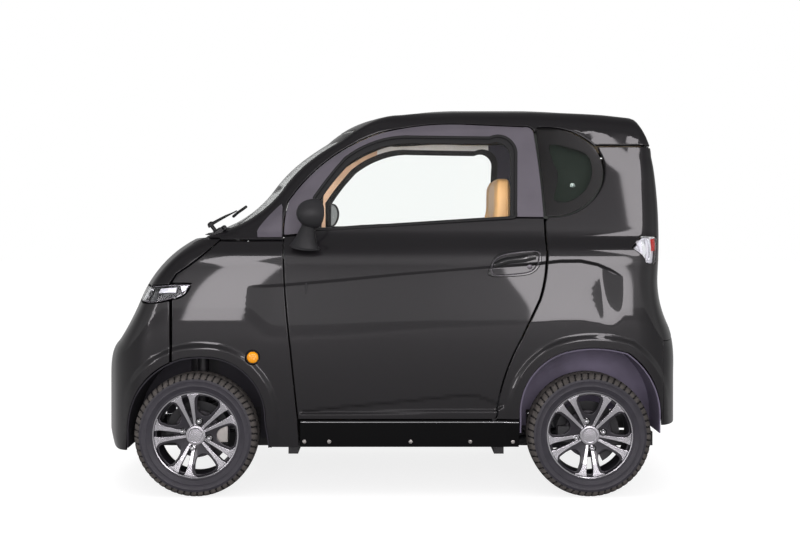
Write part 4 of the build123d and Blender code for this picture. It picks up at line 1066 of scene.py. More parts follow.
def make_rim(name, x, pairs, nuts):
    """Twin-spoke alloy wheel on the left side."""
    face = wheel_surface(x)
    centre = (x, WHEEL_Y, AXLE_Z)
    parts = []
    for k in range(5):
        for side in (-1, 1):
            parts.append(panel(f"{name}_s{k}{side + 1}", face,
                               pair_points(x, pairs + 72 * k, side), (), ALLOY, gap=0.0,
                               spacing=9.0, edge=1.6, depth=12.0, back=False,
                               side_material=RIM_DARK))
    holes = [window_points(x, pairs + 36 + 72 * k) for k in range(5)]
    holes += [slot_points(x, pairs + 72 * k) for k in range(5)]
    parts.append(panel(f"{name}_web", face, circle(x, AXLE_Z, 168, 72), holes, RIM_DARK,
                       gap=0.0, spacing=9.0, edge=3.0, depth=16.0, sink=7.0))
    barrel = [(176.5, 61), (176.5, 63.4), (174.6, 64.4), (171.5, 63.0), (170.2, 59.0),
              (168, 52), (164, 44), (160, 20), (158, -30), (160, -52), (172, -58), (174, -62),
              (177, -62), (177, -57), (165, -50), (162, -30), (163, 18), (168, 40), (172, 52)]
    parts.append(spin(f"{name}_barrel", barrel, centre, [RIM_DARK], 120))
    lip = [(177.0, 60.8), (177.0, 63.6), (175.2, 64.9), (171.6, 63.4), (170.4, 59.6),
           (171.5, 58.6)]
    parts.append(spin(f"{name}_lip", lip, centre, [ALLOY], 144))
    cap = [(0.01, 57.6), (26.5, 57.2), (28.0, 56.2), (28.8, 55.0), (30.2, 55.2), (31.0, 57.4),
           (37.5, 57.0), (40.0, 55.2), (41.5, 51.5), (41.8, 44), (0.01, 44)]
    parts.append(spin(f"{name}_cap", cap, centre, [ALLOY], 72))
    hub = [(0.01, 40), (72, 40), (74, 36), (74, 22), (0.01, 22)]
    parts.append(spin(f"{name}_hub", hub, centre, [RIM_DARK], 72))
    disc = [(0.01, 11), (62, 11), (64, 14), (96, 14), (98, 12.5), (98, 6), (96, 4), (0.01, 4)]
    parts.append(spin(f"{name}_disc", disc, centre, [DISC_STEEL], 72))
    for k in range(4):
        px, pz = polar(x, [(57, nuts + 90 * k)])[0]
        seat = [(12.5, 47.0), (14.6, 49.6), (15.6, 49.2), (15.8, 40), (12.5, 40)]
        parts.append(spin(f"{name}_seat{k}", seat, (px, WHEEL_Y, pz), [GLOSS_BLACK], 28))
        nut = [(0.01, 61.5), (3.4, 61.2), (6.4, 59.4), (7.6, 56.4), (8.0, 55.6), (9.6, 54.6),
               (9.8, 45.5), (11.4, 44.6), (11.4, 42), (0.01, 42)]

        def hexagon(a, r, y):
            """Turns the round head into six flats."""
            flat = np.cos(pi / 6) / np.cos((a % (pi / 3)) - pi / 6)
            return np.where((r > 8.2) & (r < 10.5), r * (0.55 + 0.45 * flat) / 0.97, r), y
        parts.append(spin(f"{name}_nut{k}", nut, (px, WHEEL_Y, pz), [CHROME], 36, sharp=25.0,
                          shift=hexagon))
    return parts


def mirror_all(parts):
    """Mirror copies of pieces from their built points, smooth all over."""
    return [mirror_of(p, p.name + "_r") for p in parts]


# the wheels stand turned: angles in degrees of the first spoke pair and the first nut
for end, x, pairs, nuts in (("front", FRONT_AXLE_X, 106.0, 76.0),
                            ("rear", REAR_AXLE_X, 54.0, 102.0)):
    rim = make_rim(f"rim_{end}", x, pairs, nuts)
    other = mirror_all(rim)
    tyre = make_tyre(f"tyre_{end}_left_detail", x)
    tyre_r = mirror_of(tyre, f"tyre_{end}_right_detail")
    for side, parts, rubber in (("left", rim, tyre), ("right", other, tyre_r)):
        wheel = join(parts, f"rim_{end}_{side}_detail")
        attach(wheel, f"wheel_{end}_{side}", "alloy", f"rim_{end}_{side}")
        attach(rubber, f"wheel_{end}_{side}", "tyre", f"tyre_{end}_{side}")
    back = panel(f"dust_shield_{end}", wheel_surface(x), polar(x, [
        (128, a) for a in range(-62, 188, 6)] + [(52, 186), (52, -60)]), (), CHASSIS, gap=0.0,
        spacing=16, edge=1.0, depth=3.0, sink=62.0)
    for side, shield in (("left", back), ("right", mirror_of(back, f"dust_shield_{end}_r"))):
        shield.name = f"dust_shield_{end}_{side}"
        attach(shield, f"knuckle_{side}_body" if end == "front" else "body", "steel")


# ---------------------------------------------------------------------- doors
# satin finish for the window frames and pillar triangles, paler than the body paint so as to stand
# in for the backdrop's reflection on them: painted reflection
FRAME_GREY_PAINTED_SHEEN = material("frame_satin_grey", srgb(90, 86, 94), rough=0.42, metallic=0.3,
                      vary=0.1, vary_scale=9.0, grain=0.08)
LAMP_WHITE = material("lamp_white", srgb(186, 185, 190), rough=0.3, metallic=0.2, vary=0.05)
DARK_CHROME = material("dark_chrome", (0.28, 0.28, 0.3), rough=0.2, metallic=1.0, vary=0.05)
HEADLINER = material("headliner", srgb(196, 182, 158), rough=0.9, vary=0.06, grain=0.25,
                     grain_scale=900.0)
TRIM_GREY = material("quarter_trim_grey", srgb(74, 78, 74), rough=0.6, vary=0.12,
                     vary_scale=12.0, grain=0.3, grain_scale=500.0)
# near white, so that the trim over the door openings, dim inside the cabin, still reads as bright
# as the backdrop: painted light
WHITE_TRIM_PAINTED_LIGHT = material("white_trim", srgb(253, 252, 250), rough=0.8, vary=0.03, grain=0.2,
                      grain_scale=800.0)
PEACH_TRIM = material("peach_trim", srgb(240, 200, 166), rough=0.7, vary=0.06, grain=0.3,
                      grain_scale=600.0)
PILLAR_TRIM = material("pillar_trim", srgb(68, 64, 78), rough=0.6, vary=0.08, grain=0.3,
                       grain_scale=600.0)
SATIN_DARK = material("satin_dark_metal", srgb(112, 108, 114), rough=0.35, metallic=0.8,
                      vary=0.05)
FRIT_BLACK = material("glass_border", srgb(9, 8, 8), rough=0.22, Coat_Weight=0.2,
                      Specular_IOR_Level=0.25)
LAMP_DARK = material("lamp_dark", srgb(24, 24, 27), rough=0.45, Specular_IOR_Level=0.4)
SILL_BLACK = material("sill_plastic", srgb(8, 8, 9), rough=0.75, grain=0.4,
                      grain_scale=700.0, Specular_IOR_Level=0.15)
MIRROR_GLASS = material("mirror_glass", (0.9, 0.92, 0.92), rough=0.03, metallic=1.0, vary=0.02)


def surface_points(surface, line, out=0.0):
    """3-D points on a surface, moved outwards by a distance."""
    p, n = with_normals(surface, np.asarray(line, float))
    return p + n * out


BELT = [(438, 1070), (331, 1079), (319, 1094), (-505, 1142), (-526, 1147), (-636, 1146)]
FRAME_LOW = [(-638, 1147), (-528, 1148)]
lower_door = np.concatenate([
    DOOR[(DOOR[:, 0] > 370) & (DOOR[:, 1] < 1068)], BELT,
    DOOR[(DOOR[:, 0] < -420) & (DOOR[:, 1] < 1144)]])
frame_top = DOOR[(DOOR[:, 1] > 1074) & ((DOOR[:, 0] > -607) | (DOOR[:, 1] > 1160))]
window_way = WINDOW[(WINDOW[:, 1] > 1150)][::-1]
upper_door = np.concatenate([[(438, 1074)], frame_top, FRAME_LOW, window_way,
                             [(318, 1099), (332, 1083)]])
door_skin = panel("door_lower", left, lower_door, (), PAINT, spacing=12, depth=12,
                  rows=square_rows(-640, 450))
door_frame = panel("door_frame", left, upper_door, (), FRAME_GREY_PAINTED_SHEEN, gap=2.0, spacing=14,
                   depth=30, edge=3.0, side_material=RUBBER, sink=1.5)
CARD_FRONT_X = 310.0
card_line = inset(ccw(lower_door, 20), 16)
card_line[:, 0] = np.minimum(card_line[:, 0], CARD_FRONT_X)
door_card = panel("door_card", left, card_line, (), DARK_TRIM, gap=0.0, spacing=30, depth=33,
                  edge=4.0, sink=13.5)
sash = surface_points(left, inset(ccw(WINDOW), 3.0), -8.0)
door_seal = tube("door_seal", sash, 7.5, RUBBER, segments=10, closed=True, up=(0, 1, 0))
pane = panel("door_pane", left, inset(ccw(WINDOW, 14), 2.0), (), CLEAR, gap=0.5, spacing=40,
             edge=1.2, depth=4.0, sink=15.0)
for piece, name, slot, node in ((door_skin, "skin", "body_paint", "door_{}"),
                                (door_frame, "window_frame", "body_paint", None),
                                (door_card, "card", "tan_leather", None),
                                (pane, "pane", "clear_glass", "door_glass_{}"),
                                (door_seal, "window_seal", "black_plastic", None)):
    attach_pair([piece], "door_{}_" + name, node, slot)
WINDOW_CLEAR = path((296, 1103), [
    (None, (294, 1218)), ((236, 1300), (170, 1376)), ((48, 1440), (-104, 1461)),
    (None, (-416, 1458)), ((-484, 1450), (-503, 1392)), (None, (-499, 1166)),
    ((-497, 1158), (-486, 1153)), (None, (226, 1104))])
channel = panel("window_channel", left, inset(ccw(WINDOW, 14), -1.0), [WINDOW_CLEAR], RUBBER,
                gap=0.0, spacing=14, edge=4.0, depth=17.0, sink=9.0)
attach_pair([channel], "door_{}_window_channel")

# door handles: bezel, bowl, grip and lock
HANDLE = fair([(-400, 922), (-420, 973), (-449, 999), (-514, 1010), (-600, 1013), (-620, 993),
               (-614, 950), (-585, 919), (-537, 907), (-440, 902), (-406, 908)], 110, True)
HANDLE_BOWL = fair([(-419, 944), (-447, 981), (-525, 998), (-598, 1001), (-607, 984),
                    (-595, 948), (-571, 927), (-520, 918), (-434, 914)], 90, True)
bezel = panel("handle_bezel", left, HANDLE, [HANDLE_BOWL], GLOSS_BLACK, gap=0.0, spacing=5.0,
              edge=4.5, depth=20.0, sink=-7.0, back=False)
bowl = panel("handle_bowl", left, HANDLE_BOWL, (), GLOSS_BLACK, gap=-3.0, spacing=10.0,
             edge=2.0, depth=3.0, sink=9.0)
grip_line = surface_points(left, fair([(-425, 950), (-470, 968), (-530, 976), (-596, 985)], 30),
                           1.0)
grip = tube("handle_grip", grip_line, taper(grip_line, [0, 0.17, 0.8, 1], [9, 13, 15, 10]),
            GLOSS_BLACK, flat=0.5, up=(0, 1, 0))
lock_at = surface_points(left, [(-572, 945)])[0]
lock = spin("handle_lock", [(0.01, 2.0), (1.2, 2.0), (1.3, 3.2), (8, 3.0), (10.5, 1.6),
                            (11, -1), (11, -9), (0.01, -9)], tuple(lock_at), SATIN_DARK, 30)
# pale satin ring along the bowl's edge: painted highlight, standing in for the shine on the bezel's
# inner edge
highlight_ring_line = surface_points(left, inset(ccw(HANDLE_BOWL, 8), -4.0), 7.6)
ring = tube("handle_ring", highlight_ring_line, 1.8, SATIN_DARK, 8, closed=True, up=(0, 1, 0))
# matt black patch low in the handle's bowl: painted shade for the cavity under the grip
pocket_shade = panel("handle_pocket", left, fair([(-425, 922), (-440, 950), (-500, 958), (-552, 962),
                                            (-560, 935), (-548, 920), (-490, 915)], 60, True),
               (), RUBBER, gap=0.0, spacing=12, edge=1.0, depth=2.0, sink=7.0)
attach_pair([bezel, bowl, grip, lock, ring, pocket_shade], "handle_{}_detail", "handle_{}")

# door mirrors: ball, disc-shaped head and flared foot
head = spin("mirror_head", [(0.01, -62), (12, -60.6), (24, -56), (36, -48), (46, -36), (53, -22),
                            (57.5, -6), (59.5, 10), (60, 20), (59.4, 25), (57.6, 27), (55.6, 26.4),
                            (54.8, 24), (54.8, 21), (0.01, 21)], (0, 0, 0), BLACK, 60,
            closed=False, sharp=40)
shine = spin("mirror_face", [(0.01, 23.4), (40, 23.2), (53, 22.8), (54.4, 22), (54.4, 20),
                             (0.01, 20)], (0, 0, 0), MIRROR_GLASS, 60, closed=False)
MIRROR_AIM = Vector((-0.84, -0.53, -0.06)).normalized()
MIRROR_CENTRE = (316, 700, 1163)
foot_way = fair([(328, 692, 1124), (331, 684, 1104), (336, 672, 1078), (341, 662, 1052),
                 (344, 655, 1034), (345, 652, 1022)], 24)
foot = tube("mirror_foot", foot_way, taper(foot_way, [0, 0.2, 0.55, 0.82, 0.93, 1],
                                           [27, 30, 45, 60, 66, 60]),
            BLACK, 30, flat=0.72, up=(0.2, 1, 0.5))
parts = [placed(head, MIRROR_AIM, MIRROR_CENTRE), placed(shine, MIRROR_AIM, MIRROR_CENTRE),
         foot]
attach_pair(parts, "mirror_{}_detail", "mirror_{}")

# ------------------------------------------------------------- fixed side trim
corner = path((545, 1066), [(None, (549, 1088)), (None, (541, 1106)), ((500, 1155), (450, 1203)),
                            (None, (445, 1190)), (None, (446, 1066))])
corner_piece = panel("pillar_triangle", left, corner, (), FRAME_GREY_PAINTED_SHEEN, gap=0.0, spacing=14,
                     edge=1.5, depth=6.0, sink=-2.2)
attach(both_sides(corner_piece, "pillar_triangles"), "body", "body_paint")

quarter_pane = path((-644, 1152), [
    (None, (-611, HEIGHT - 110)), ((-776, HEIGHT - 134), (-858, HEIGHT - 192)),
    ((-890, 1345), (-868, 1264)), ((-788, 1182), (-644, 1152))])
border = inset(ccw(quarter_pane, 14), 3.0)
clear_zone = fair([(-672, 1452), (-682, 1376), (-699, 1334), (-693, 1280), (-680, 1226),
                   (-712, 1210), (-760, 1222), (-812, 1262), (-838, 1318), (-840, 1370),
                   (-822, 1410), (-760, 1436)], 90, True)
frit = panel("quarter_frit", left, border, [clear_zone], FRIT_BLACK, gap=0.0, spacing=16,
             edge=1.5, depth=5.0, sink=1.4, back=False)
tint = panel("quarter_tint", left, inset(ccw(clear_zone), -6.0), (), TINTED, gap=0.0, spacing=30,
             edge=0.8, depth=3.0, sink=3.0)
trim = panel("quarter_trim", left, inset(border, -8.0), (), TRIM_GREY, gap=0.0, spacing=26,
             edge=3.0, depth=5.0, sink=30.0)
bolt_at = surface_points(left, [(-763, 1285)], -29.0)[0]
bolt = spin("quarter_bolt", [(0.01, 5), (5, 4.6), (7, 2.8), (7.6, 0), (11, -0.2), (12, -1.4),
                             (12, -4), (0.01, -4)], tuple(bolt_at), CHROME, 28, closed=False)
# chrome strip behind the quarter glass: a painted glint, standing in for light that shows through a
# gap
glint_line = surface_points(left, fair([(-681, 1352), (-686, 1334), (-688, 1310), (-686, 1276)],
                                       24), -24.0)
glint = tube("quarter_handle", glint_line, 3.2, CHROME, 10, up=(0, 1, 0))
attach(both_sides(tint, "quarter_panes"), "body", "dark_glass", "quarter_glasses")
attach(both_sides(frit, "quarter_pane_borders"), "body", "dark_glass")
attach(both_sides(trim, "quarter_inner_trims"), "body", "black_plastic")
small = [bolt, glint]
attach(join(small + other_side(small), "quarter_fasteners"), "body", "steel")

# trim round the door openings, on the body's inner side
surround_line = np.concatenate([[(346, 1092)], DOOR[(DOOR[:, 1] > 1100) & (DOOR[:, 0] < 346)],
                                [(-634, 1092)]])
surround = panel("door_surround", left, inset(ccw(surround_line, 20), 5.0),
                 [inset(ccw(WINDOW, 14), -2.0)], WHITE_TRIM_PAINTED_LIGHT, gap=0.0, spacing=18, edge=5.0,
                 depth=8.0, sink=48.0)
surrounds = both_sides(surround, "door_opening_trims")
surrounds.data.materials.append(PEACH_TRIM)
surrounds.data.materials.append(PILLAR_TRIM)
for vertex in surrounds.data.vertices:
    inward = 42.0 * smooth(vertex.co.x / MM, 130, 290)
    vertex.co.y -= np.sign(vertex.co.y) * inward * MM
# three finishes along the trim: peach at the front, pillar trim at the rear, and the near-white
# painted light over the middle
for face in surrounds.data.polygons:
    x = face.center.x / MM
    face.material_index = 1 if x > 62 else (2 if x < -482 else 0)
attach(surrounds, "body", "tan_leather")

# lamps
lamp_outline = np.concatenate([
    on_side([(813, 876), (985, 868)]), on_end([(598, 865), (363, 860), (363, 801), (594, 799)], 1),
    on_side(LAMP_LOWER[::-1])])
lamp_uv = to_nose(lamp_outline)
lamp_line = ccw(lamp_uv)
housing = panel("lamp_housing", nose_surface, lamp_uv, (), LAMP_DARK, gap=2.0, spacing=14,
                edge=2.0, depth=10.0, sink=30.0)
wall = surface_points(nose_surface, inset(lamp_line, 4.0), -3.0)
rim_line = tube("lamp_rim", wall, 1.6, SATIN_DARK, 8, closed=True, up=(1, 0, 0.3))
hook_way = surface_points(nose_surface, to_nose(on_side([(898, 868), (820, 871), (838, 838),
                                                         (880, 817)])), -4.0)
hook = tube("lamp_hook", hook_way, 2.2, CHROME, 8, up=(0, 1, 0))
wall_low = surface_points(nose_surface, inset(lamp_line, 3.0), -31.0)
wall_faces = swept("lamp_wall", [wall, wall_low], LAMP_DARK, closed_ends=False)
bar_line = to_nose(on_side(path((868, 861), [(None, (940, 858)), (None, (950, 840)),
                                             (None, (874, 840))])))
side_bar = panel("lamp_side_bar", nose_surface, bar_line, (), LAMP_WHITE, gap=0.0, spacing=8,
                 edge=2.5, depth=10.0, sink=9.0)
bar_tail = to_nose(on_side([(818, 872), (858, 870), (852, 842), (836, 846)]))
tail_bar = panel("lamp_tail_bar", nose_surface, bar_tail, (), DARK_CHROME, gap=0.0, spacing=8,
                 edge=2.0, depth=12.0, sink=14.0)
upright = to_nose(on_end([(520, 858), (492, 859), (488, 803), (516, 802)], 1))
chrome_post = panel("lamp_post", nose_surface, upright, (), CHROME, gap=0.0, spacing=8,
                    edge=3.0, depth=16.0, sink=7.0)
lamp_parts = [housing, rim_line, wall_faces, hook, side_bar, tail_bar, chrome_post]
for k, (y, radius) in enumerate(((452, 25), (398, 22))):
    bowl_shape = [(0.01, -16), (4, -16), (5, -9), (7, -9), (8, -17), (radius * 0.6, -14),
                  (radius * 0.86, -7), (radius, 0), (radius + 2.4, 1), (radius + 3.4, -1),
                  (radius + 1, -14), (0.01, -22)]
    cup = spin(f"lamp_cup{k}", bowl_shape, (0, 0, 0), DARK_CHROME, 40, closed=False)
    at, away = with_normals(nose_surface, to_nose(on_end([(y, 832)], 1)))
    lamp_parts.append(placed(cup, (0.94, 0.2, 0.25), at[0] - away[0] * 17.0))
lens = panel("lamp_lens_pane", nose_surface, lamp_uv, (), LENS, gap=1.5, spacing=20, edge=1.5,
             depth=3.0, sink=0.2)
attach(both_sides(lens, "headlamp_lenses"), "body", "lamp_clear", "headlamps")
attach(join(lamp_parts + other_side(lamp_parts), "headlamp_inners"), "body", "lamp_clear")

tail_line = to_tail(on_side(TAIL_LAMP))
tail_lens = panel("tail_lens", tail_surface, tail_line, (), LENS, gap=0.2, spacing=12,
                  edge=1.5, depth=3.0, sink=0.2)
attach(both_sides(tail_lens, "tail_lamp_lenses"), "body", "lamp_clear", "tail_lamps")
tail_base = panel("tail_base", tail_surface, tail_line, (), LAMP_WHITE, gap=0.4, spacing=14,
                  edge=1.0, depth=8.0, sink=14.0)
tail_parts = [tail_base]
for k, x in enumerate((-1018, -1033, -1048, -1063)):
    bar = to_tail(on_side([(x, 1050 + 4 * k), (x - 9, 1052 + 4 * k), (x - 9, 972), (x, 972)]))
    tail_parts.append(panel(f"tail_bar{k}", tail_surface, bar, (), CHROME if k % 2 else
                            LAMP_WHITE, gap=0.0, spacing=10, edge=3.5, depth=10.0, sink=7.0))
red = to_tail(on_side([(-1084, 1060), (-1098, 1060), (-1098, 1010), (-1084, 1010)]))
tail_parts.append(panel("tail_red", tail_surface, red, (), RED_LENS, gap=0.0, spacing=12,
                        edge=3.0, depth=10.0, sink=5.0))
tail_parts += mirror_all(tail_parts)
attach(join(tail_parts, "tail_lamp_inners"), "body", "lamp_clear")

blink_at = surface_points(left, [(560, 576)])[0]


def pips(a, r, y):
    """Raises a lens into a grid of small bumps."""
    x, z = r * np.cos(a), r * np.sin(a)
    return r, y + np.where((r > 1) & (r < 21), 0.7 * np.cos(x * 1.1) * np.cos(z * 1.1), 0)


blink = spin("side_indicator", [(0.01, 7.6), (3, 7.5), (6, 7.4), (9, 7.1), (12, 6.7), (15, 6.1),
                                (18, 5.2), (21, 3.6), (23, 1.5), (24, -1), (24, -8),
                                (0.01, -8)], tuple(blink_at + (0, -2.5, 0)), AMBER, 60,
             closed=False, shift=pips)
socket = spin("side_socket", [(24.2, 0.5), (26.5, 0.8), (27.8, 0), (28.2, -2), (28.2, -10),
                              (24.2, -10)], tuple(blink_at), RUBBER, 48)
attach(join([blink] + other_side([blink]), "side_indicator_lenses"), "body", "amber",
       "side_indicators")
attach(join([socket] + other_side([socket]), "side_indicator_rings"), "body", "black_plastic")

# sills
sill_line = [(370, 201), (370, 315), (-430, 315), (-531, 315), (-530, 201)]
sill = panel("sill", left, sill_line, (), SILL_BLACK, gap=0.0, spacing=16, edge=6.0, depth=30.0,
             sink=2.0)
strip_line = surface_points(left, resampled([(366, 308), (-526, 308)], 30, False), -1.0)
strip = tube("sill_strip", strip_line, 2.6, CHROME, 8, up=(0, 1, 0))
sill_parts = [sill, strip]
for k, x in enumerate((352, 250, -85, -330, -505)):
    at = surface_points(left, [(x, 226)])[0]
    screw = spin(f"sill_screw{k}", [(0.01, 1.0), (3.2, 1.0), (3.4, 2.4), (7.4, 2.0), (9.0, 0.2),
                                    (9.0, -4), (0.01, -4)], tuple(at + (0, -2.4, 0)), STEEL, 20,
                 closed=False)
    sill_parts.append(screw)
attach(join(sill_parts + other_side(sill_parts), "sill_cover_pieces"), "body",
       "black_plastic", "sill_covers")

# ---------------------------------------------------------------------- lids' hinges
arm_side = np.array([(688, 1095), (735, 1050), (805, 1015), (820, 1040), (745, 1075),
                     (696, 1113)], float)
arm_line = fair(arm_side, 48, True)


def arm_slice(y, grow):
    """Bonnet arm's outline at y, drawn in by an amount."""
    ring = inset(ccw(arm_line, 8), grow)
    return np.stack([ring[:, 0], np.full(len(ring), float(y)), ring[:, 1]], 1)


arm_left = swept("bonnet_arm", [arm_slice(518, 2.5), arm_slice(519.5, 0.8), arm_slice(530.5, 0.8),
                                arm_slice(532, 2.5)], CHASSIS)
pivot = spin("bonnet_pivot", [(4.2, -7), (9.6, -7), (10, -6), (10, 6), (9.6, 7), (4.2, 7)],
             (690, 525, 1105), CHASSIS, 28)
arms = [arm_left, pivot]
attach(join(arms + other_side(arms), "bonnet_hinge_arms"), "bonnet_body", "body_paint")
lining_half = np.concatenate([
    on_end([(0, 1048), (545, 1048)], 1), on_end([(560, 905), (330, 880), (320, 835), (0, 835)], 1)])
bonnet_seal = panel("bonnet_lining", nose_surface, to_nose(symmetric_points(lining_half)), (),
                    LINER_PAINTED_LIT, gap=0.0, spacing=34, edge=4.0, depth=3.0, sink=12.4)
attach(bonnet_seal, "bonnet_body", "body_paint", "bonnet")

gate_leaf = []
for k, y in enumerate((300, -300)):
    strap_line = to_tail(on_end([(y - 9, 1436), (y + 9, 1436), (y + 9, 1408), (y - 9, 1408)],
                                -1))
    gate_leaf.append(panel(f"gate_strap{k}", tail_surface, strap_line, (), BLACK, gap=0.0,
                           spacing=10, edge=2.0, depth=5.0, sink=-2.5))
attach(join(gate_leaf, "tailgate_hinge_leaves"), "tailgate_body", "body_paint")
gate_lining_half = np.concatenate([
    on_end([(0, 1046), (414, 1046), (452, 1036), (462, 680), (0, 680)], -1)])
gate_card = panel("tailgate_card", tail_surface, to_tail(symmetric_points(gate_lining_half)), (),
                  DARK_TRIM, gap=0.0, spacing=30, edge=5.0, depth=18.0, sink=12.5)
attach(gate_card, "tailgate_body", "body_paint", "tailgate")

# ------------------------------------------------------------------ cabin
lining_line = to_top(symmetric_points(np.concatenate([
    on_end([(0, 1470), (405, 1470)], -1), on_side([(-1030, 1476), (-880, 1486)]),
    on_side([(-640, 1552), (-330, 1562), (-130, 1556), (30, 1526), (150, 1462)]),
    on_end([(400, 1505), (0, 1510)], 1)])))
lining = panel("cabin_lining", top_surface, lining_line, (), HEADLINER, gap=0.0, spacing=40,
               depth=5, edge=2.0, sink=16.0)
attach(lining, "body", "tan_leather")


CUSHION_VOXEL, CUSHION_PRESSURE, CLOTH_FRAMES = 7.0, 4.0, 15


def coordinates(mesh):
    """A mesh's points in metres."""
    p = np.empty(len(mesh.vertices) * 3)
    mesh.vertices.foreach_get("co", p)
    return p.reshape(-1, 3)


def puffed(obj, cap):
    """Fills a form out by cloth simulation, with each point's travel capped."""
    remesh = obj.modifiers.new("remesh", "REMESH")
    remesh.mode = "VOXEL"
    remesh.voxel_size = CUSHION_VOXEL * MM
    base = bpy.data.meshes.new_from_object(
        obj.evaluated_get(bpy.context.evaluated_depsgraph_get()))
    obj.modifiers.clear()
    for m in obj.data.materials:
        if m.name not in base.materials:
            base.materials.append(m)
    obj.data = base
    start = coordinates(base)
    cloth = obj.modifiers.new("Cloth", "CLOTH")
    cloth.settings.use_pressure = True
    cloth.settings.uniform_pressure_force = CUSHION_PRESSURE
    cloth.settings.effector_weights.gravity = 0.0
    for frame_number in range(1, CLOTH_FRAMES + 1):
        bpy.context.scene.frame_set(frame_number)
    ready = obj.evaluated_get(bpy.context.evaluated_depsgraph_get()).to_mesh()
    travel = coordinates(ready) - start
    length = np.linalg.norm(travel, axis=1)[:, None] + 1e-9
    start = start + travel / length * np.minimum(length, cap * MM)
    obj.modifiers.clear()
    bpy.context.scene.frame_set(1)
    base.vertices.foreach_set("co", start.ravel())
    base.update()
    return obj


def mesh_points(obj):
    """A mesh's points in millimetres."""
    return coordinates(obj.data) / MM


def set_points(obj, p):
    """Moves a mesh's points to places in millimetres."""
    obj.data.vertices.foreach_set("co", (p * MM).ravel())
    obj.data.update()


def groove(d, width):
    """Depth from 0 to 1 at a distance from a groove's middle."""
    return np.exp(-(d / width) ** 2)


SEAT_Y = 235.0
BACK_SEAM_Y, BASE_SEAM_Y = 118, 128      # lengthwise seams, from the seat's middle
BACK_BOX = (-558, 31, 568), (-322, 439, 1324)
BASE_BOX = (-399, 21, 470.5), (69, 449, 559.5)
BACK_Z = [572, 800, 1000, 1090, 1150, 1318]
BACK_X = [-381, -433, -474, -484, -481, -480]
BACK_HALF = [50, 52, 48, 38, 32, 31]


def back_axis(t):
    """Centre line of the seat back: x and half thickness at height t from 0 to 1."""
    z = 572 + t * 746
    return np.interp(z, BACK_Z, BACK_X), np.interp(z, BACK_Z, BACK_HALF), z


def back_width(t):
    """Half width of the seat back at height t from 0 to 1."""
    return np.interp(t, [0, 0.3, 0.8, 1.0], [190, 197, 197, 188])


def back_form(q):
    """Seat back from unit-box points."""
    t = (q[:, 2] + 1) / 2
    x, half, z = back_axis(t)
    return np.stack([x + q[:, 0] * half, SEAT_Y + q[:, 1] * back_width(t), z], 1)


def cushion_form(q):
    """Seat cushion from unit-box points."""
    x = -165 + q[:, 0] * 228
    crown = 1 - 0.25 * smooth(np.abs(q[:, 1]), 0.4, 1.0)
    z = 514 + q[:, 2] * 38 * crown + 5 * smooth(x, -40, 60)
    return np.stack([x, SEAT_Y + q[:, 1] * 208, z], 1)


seat_back = puffed(soft_box("seat_back", back_form, LEATHER, power=9.0), 5.0)
p = mesh_points(seat_back)
mid = np.interp(p[:, 2], BACK_Z, BACK_X)
facing = smooth(p[:, 0] - mid, -10, 25)
facing = facing * (1 - smooth(p[:, 2], 1120, 1200))
off = np.abs(p[:, 1] - SEAT_Y)
bolster = np.abs(off - BACK_SEAM_Y)
p[:, 0] -= facing * (6.0 * groove(bolster, 7) - 12.0 * smooth(off, BACK_SEAM_Y, 165)
                     * (1 - smooth(off, 165, 200)))
for height in (735, 835, 935, 1035, 1135):
    bow = 12 * ((p[:, 1] - SEAT_Y) / BACK_SEAM_Y) ** 2
    p[:, 0] -= facing * 5.0 * groove(p[:, 2] - height - bow, 6) * (off < BACK_SEAM_Y)
set_points(seat_back, np.clip(p, *BACK_BOX))
seat_back.data.shade_smooth()
seat_base = puffed(soft_box("seat_base", cushion_form, LEATHER, power=5.0), 9.0)
p = mesh_points(seat_base)
upper = smooth(p[:, 2], 505, 530)
off = np.abs(p[:, 1] - SEAT_Y)
bolster = np.abs(off - BASE_SEAM_Y)
p[:, 2] -= upper * 5.0 * groove(bolster, 7)
for x in (-300, -205, -110, -15):
    bow = 10 * ((p[:, 1] - SEAT_Y) / BASE_SEAM_Y) ** 2
    p[:, 2] -= upper * 4.5 * groove(p[:, 0] - x - bow, 6) * (off < BASE_SEAM_Y)
set_points(seat_base, np.clip(p, *BASE_BOX))
seat_base.data.shade_smooth()


def back_edge(side):
    """Welt line up one side of the seat back's rear edge."""
    rows = []
    for t in np.linspace(0.06, 0.97, 26):
        x, half, z = back_axis(t)
        rows.append((x - half * 0.55, SEAT_Y + side * (back_width(t) + 3.0), z))
    return rows


welt = tube("seat_welt", back_edge(1) + back_edge(-1)[::-1], 3.2, LEATHER, 8, up=(1, 0, 0))
others = [mirror_object(o, o.name + "_r") for o in (seat_back, welt, seat_base)]
for o in others[:2]:
    q = mesh_points(o)
    q[:, 0] -= 30 * smooth(q[:, 2], 1020, 1120) * smooth(np.abs(q[:, 1]), 30, 330)
    set_points(o, q)
seat_backs = join([seat_back, others[0]], "seat_back_cushions")
seat_bases = join([seat_base, others[2]], "seat_base_cushions")
welts = join([welt, others[1]], "seat_back_piping")
attach(seat_backs, "body", "tan_leather", "seat_backs")
attach(seat_bases, "body", "tan_leather", "seat_cushions")
attach(welts, "body", "tan_leather")

# steering wheel
HUB = np.array((118.0, 235.0, 905.0))
TILT = radians(25)
wheel_axis = np.array((-cos(TILT), 0, sin(TILT)))
wheel_up = np.array((sin(TILT), 0, cos(TILT)))
wheel_side = np.array((0.0, 1.0, 0.0))


def on_wheel(a, r, rise=0.0):
    """Point of the steering wheel at an angle and radius, raised along its axis."""
    return HUB + wheel_side * (r * cos(a)) + wheel_up * (r * sin(a)) + wheel_axis * rise


